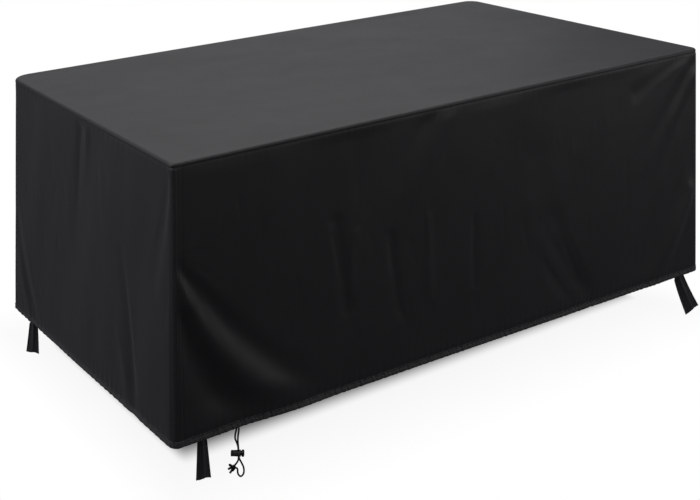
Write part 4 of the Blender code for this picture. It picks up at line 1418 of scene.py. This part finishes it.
def drawcord(looks):
    """The drawcord's two strands, their knot and tails, and the sprung lock on them."""
    place = cord_frame()
    barrel = on_cover(lock_barrel(place, looks["barrel"]), "lock_plastic", "lock_barrel")
    button = dress(lock_button(place, looks["button"]), "button", "lock_plastic", "lock_button")
    knot = on_cover(join("cord_knot_tied", [
        tube("knot", in_frame(place, knot_line()), CORD / 2 * KNOT_CORD, looks["cord"]),
        tube("ear", in_frame(place, smooth_route(EAR_ROUTE, 0.7)), CORD / 2 * LOOSE_CORD, looks["cord"]),
    ]), "cord", "cord_knot")
    upper, lower = (
        on_cover(tube(name + "_end", in_frame(place, smooth_route(route, 0.7)),
                      CORD / 2 * LOOSE_CORD, looks["cord"], round_end=True), "cord", name)
        for name, route in (("cord_tail_upper", UPPER_TAIL_ROUTE), ("cord_tail_lower", LOWER_TAIL_ROUTE)))
    for name, route, pieces in (
            ("drawcord_short", SHORT_ROUTE, (barrel, button, knot, upper, lower)),
            ("drawcord_loop", LOOP_ROUTE, ())):
        line = in_frame(place, smooth_route(route, 0.9))
        strand = on_cover(tube(name + "_strand", line, CORD / 2, looks["cord"]), "cord", name)


def skirt(looks, stitch):
    for side, (name, *_) in enumerate(SIDES):
        wall = on_cover(wall_sheet(side, looks["cloth"]), "cover_cloth", "skirt_" + name)
        hem = on_cover(hem_piece(side, looks["hem"]), "cover_cloth")
        rows = [level_row(side, SEAM_DROP + 0.0045), hem_row(side),
                upright_row(side, FELLED_WIDE - 0.0022), upright_row(side, SECOND_ROW)]
        sewn = on_cover(stitch_rows("skirt_" + name + "_stitches", rows, looks["thread"], stitch),
                        "cover_cloth")


def tails(looks, stitch):
    for row in TAILS:
        tail, sewn = webbing_tail(row, looks["webbing"], looks["thread"], stitch)
        on_cover(tail, "webbing", "strap_" + row[0])
        on_cover(sewn, "webbing")


# ---- floor, light and surroundings -------------------------------------------------------

FLOOR_Z = -0.90

# Light: name, its place, what it points at, width and height (m), watts
LIGHTS = (
    ("overhead", (0.2, -0.1, 2.3), (0.1, 0.0, 0.0), 4.2, 3.0, 62),
    ("left_fill", (-2.3, 0.2, 1.5), (-0.9, 0.0, -0.1), 1.8, 1.6, 28),
    ("right_front_card", (3.4, -3.0, 0.9), (0.4, -0.5, -0.3), 2.2, 1.6, 20),
    ("back_card", (1.6, 3.4, 1.2), (0.2, 0.0, 0.0), 4.2, 1.6, 11),
)


def lights():
    for name, place, target, wide, tall, watts in LIGHTS:
        data = bpy.data.lights.new(name, "AREA")
        data.shape = "RECTANGLE"
        data.size, data.size_y = wide, tall
        data.energy = watts
        obj = bpy.data.objects.new(name, data)
        bpy.context.scene.collection.objects.link(obj)
        obj.location = place
        way = Vector(target) - Vector(place)
        obj.rotation_euler = way.to_track_quat("-Z", "Y").to_euler()
        obj.visible_camera = False


# Where the floor is shaded under the cover: its middle, half size and softness (m), how much sooner it
# ends along the cover, how round its corners are, and how dark it is close to the hem and round it
SHADE_MIDDLE = (0.075, 0.130, 0.0)
SHADE_HALF_LONG, SHADE_HALF_WIDE = 0.855, 0.387
SHADE_SOFT, SHADE_BROAD = 0.050, 0.38
SHADE_END, SHADE_ROUND = 1.9, 0.06
SHADE_DEEP, SHADE_FAINT = 0.76, 0.09


def floor_shade_group():
    """The floor's soft shade under the cover: close under its hem, and broad and faint round it."""
    nodes, given, made = new_group("floor_shade", {"Half Length": 1.0, "Half Width": 0.5}, "Colour")
    moved = nodes.add("ShaderNodeVectorMath", operation="SUBTRACT")
    nodes.put(moved.inputs[0], given["Place"])
    nodes.put(moved.inputs[1], SHADE_MIDDLE)
    along, across = nodes.apart(moved.outputs[0])
    inside_long = nodes.math("SUBTRACT", given["Half Length"], nodes.math("ABSOLUTE", along))
    inside_wide = nodes.math("SUBTRACT", given["Half Width"], nodes.math("ABSOLUTE", across))
    depth = nodes.math("SMOOTH_MIN", nodes.times(inside_long, SHADE_END), inside_wide, SHADE_ROUND)
    close = nodes.span(depth, -SHADE_SOFT, SHADE_SOFT)
    close = nodes.times(nodes.times(close, close), nodes.times_plus(close, -2.0, 3.0))
    broad = nodes.times(nodes.span(depth, -SHADE_BROAD, 0.0), SHADE_FAINT)
    shade = nodes.times_plus(close, SHADE_DEEP, broad)
    nodes.put(made["Colour"], nodes.mix(shade, (1.0, 1.0, 1.0, 1.0), (0.0, 0.0, 0.0, 1.0), "RGBA"))
    return nodes.tree


def floor():
    """A plain pale floor that glows white, with a soft shadow painted into its glow under the cover; it
    doesn't light the cover from below.
    """
    bpy.ops.object.select_all(action="DESELECT")
    bpy.ops.mesh.primitive_circle_add(vertices=96, radius=14, fill_type="NGON", location=(0, 0, FLOOR_Z))
    obj = bpy.context.object
    obj.name = "floor"
    made, nodes, shader = start_material("pale_floor", {
        "Roughness": 0.9, "Emission Strength": 1.0, "Base Color": (0.0, 0.0, 0.0, 1.0),
        "Specular IOR Level": 0.0})
    shade = nodes.group(floor_shade_group(), Place=object_place(nodes),
                        Half_Length=SHADE_HALF_LONG, Half_Width=SHADE_HALF_WIDE)
    # The floor's white glow is darkened under the cover by this mask: a painted shadow
    nodes.put(shader["Emission Color"], shade["Colour"])
    obj.data.materials.append(made)
    obj.visible_diffuse = obj.visible_glossy = False


def world():
    """White behind the cover, dim for everything else."""
    made = bpy.data.worlds.new("studio")
    bpy.context.scene.world = made
    made.use_nodes = True
    nodes = Nodes(made.node_tree)
    plain = made.node_tree.nodes["Background"]
    plain.inputs["Color"].default_value = (0.06, 0.06, 0.065, 1.0)
    white = nodes.add("ShaderNodeBackground")
    white.inputs["Color"].default_value = (1.0, 1.0, 1.0, 1.0)
    mix = nodes.add("ShaderNodeMixShader")
    nodes.put(mix.inputs[0], nodes.add("ShaderNodeLightPath").outputs["Is Camera Ray"])
    nodes.put(mix.inputs[1], plain.outputs[0])
    nodes.put(mix.inputs[2], white.outputs[0])
    nodes.put(made.node_tree.nodes["World Output"].inputs[0], mix.outputs[0])
    bpy.context.scene.view_settings.view_transform = "Standard"


camera()
looks = materials()
drawcord(looks)
stitch = one_stitch()
top = on_cover(top_sheet(looks["top"]), "cover_cloth", "top_panel")
skirt(looks, stitch)
tails(looks, stitch)
floor()
lights()
world()
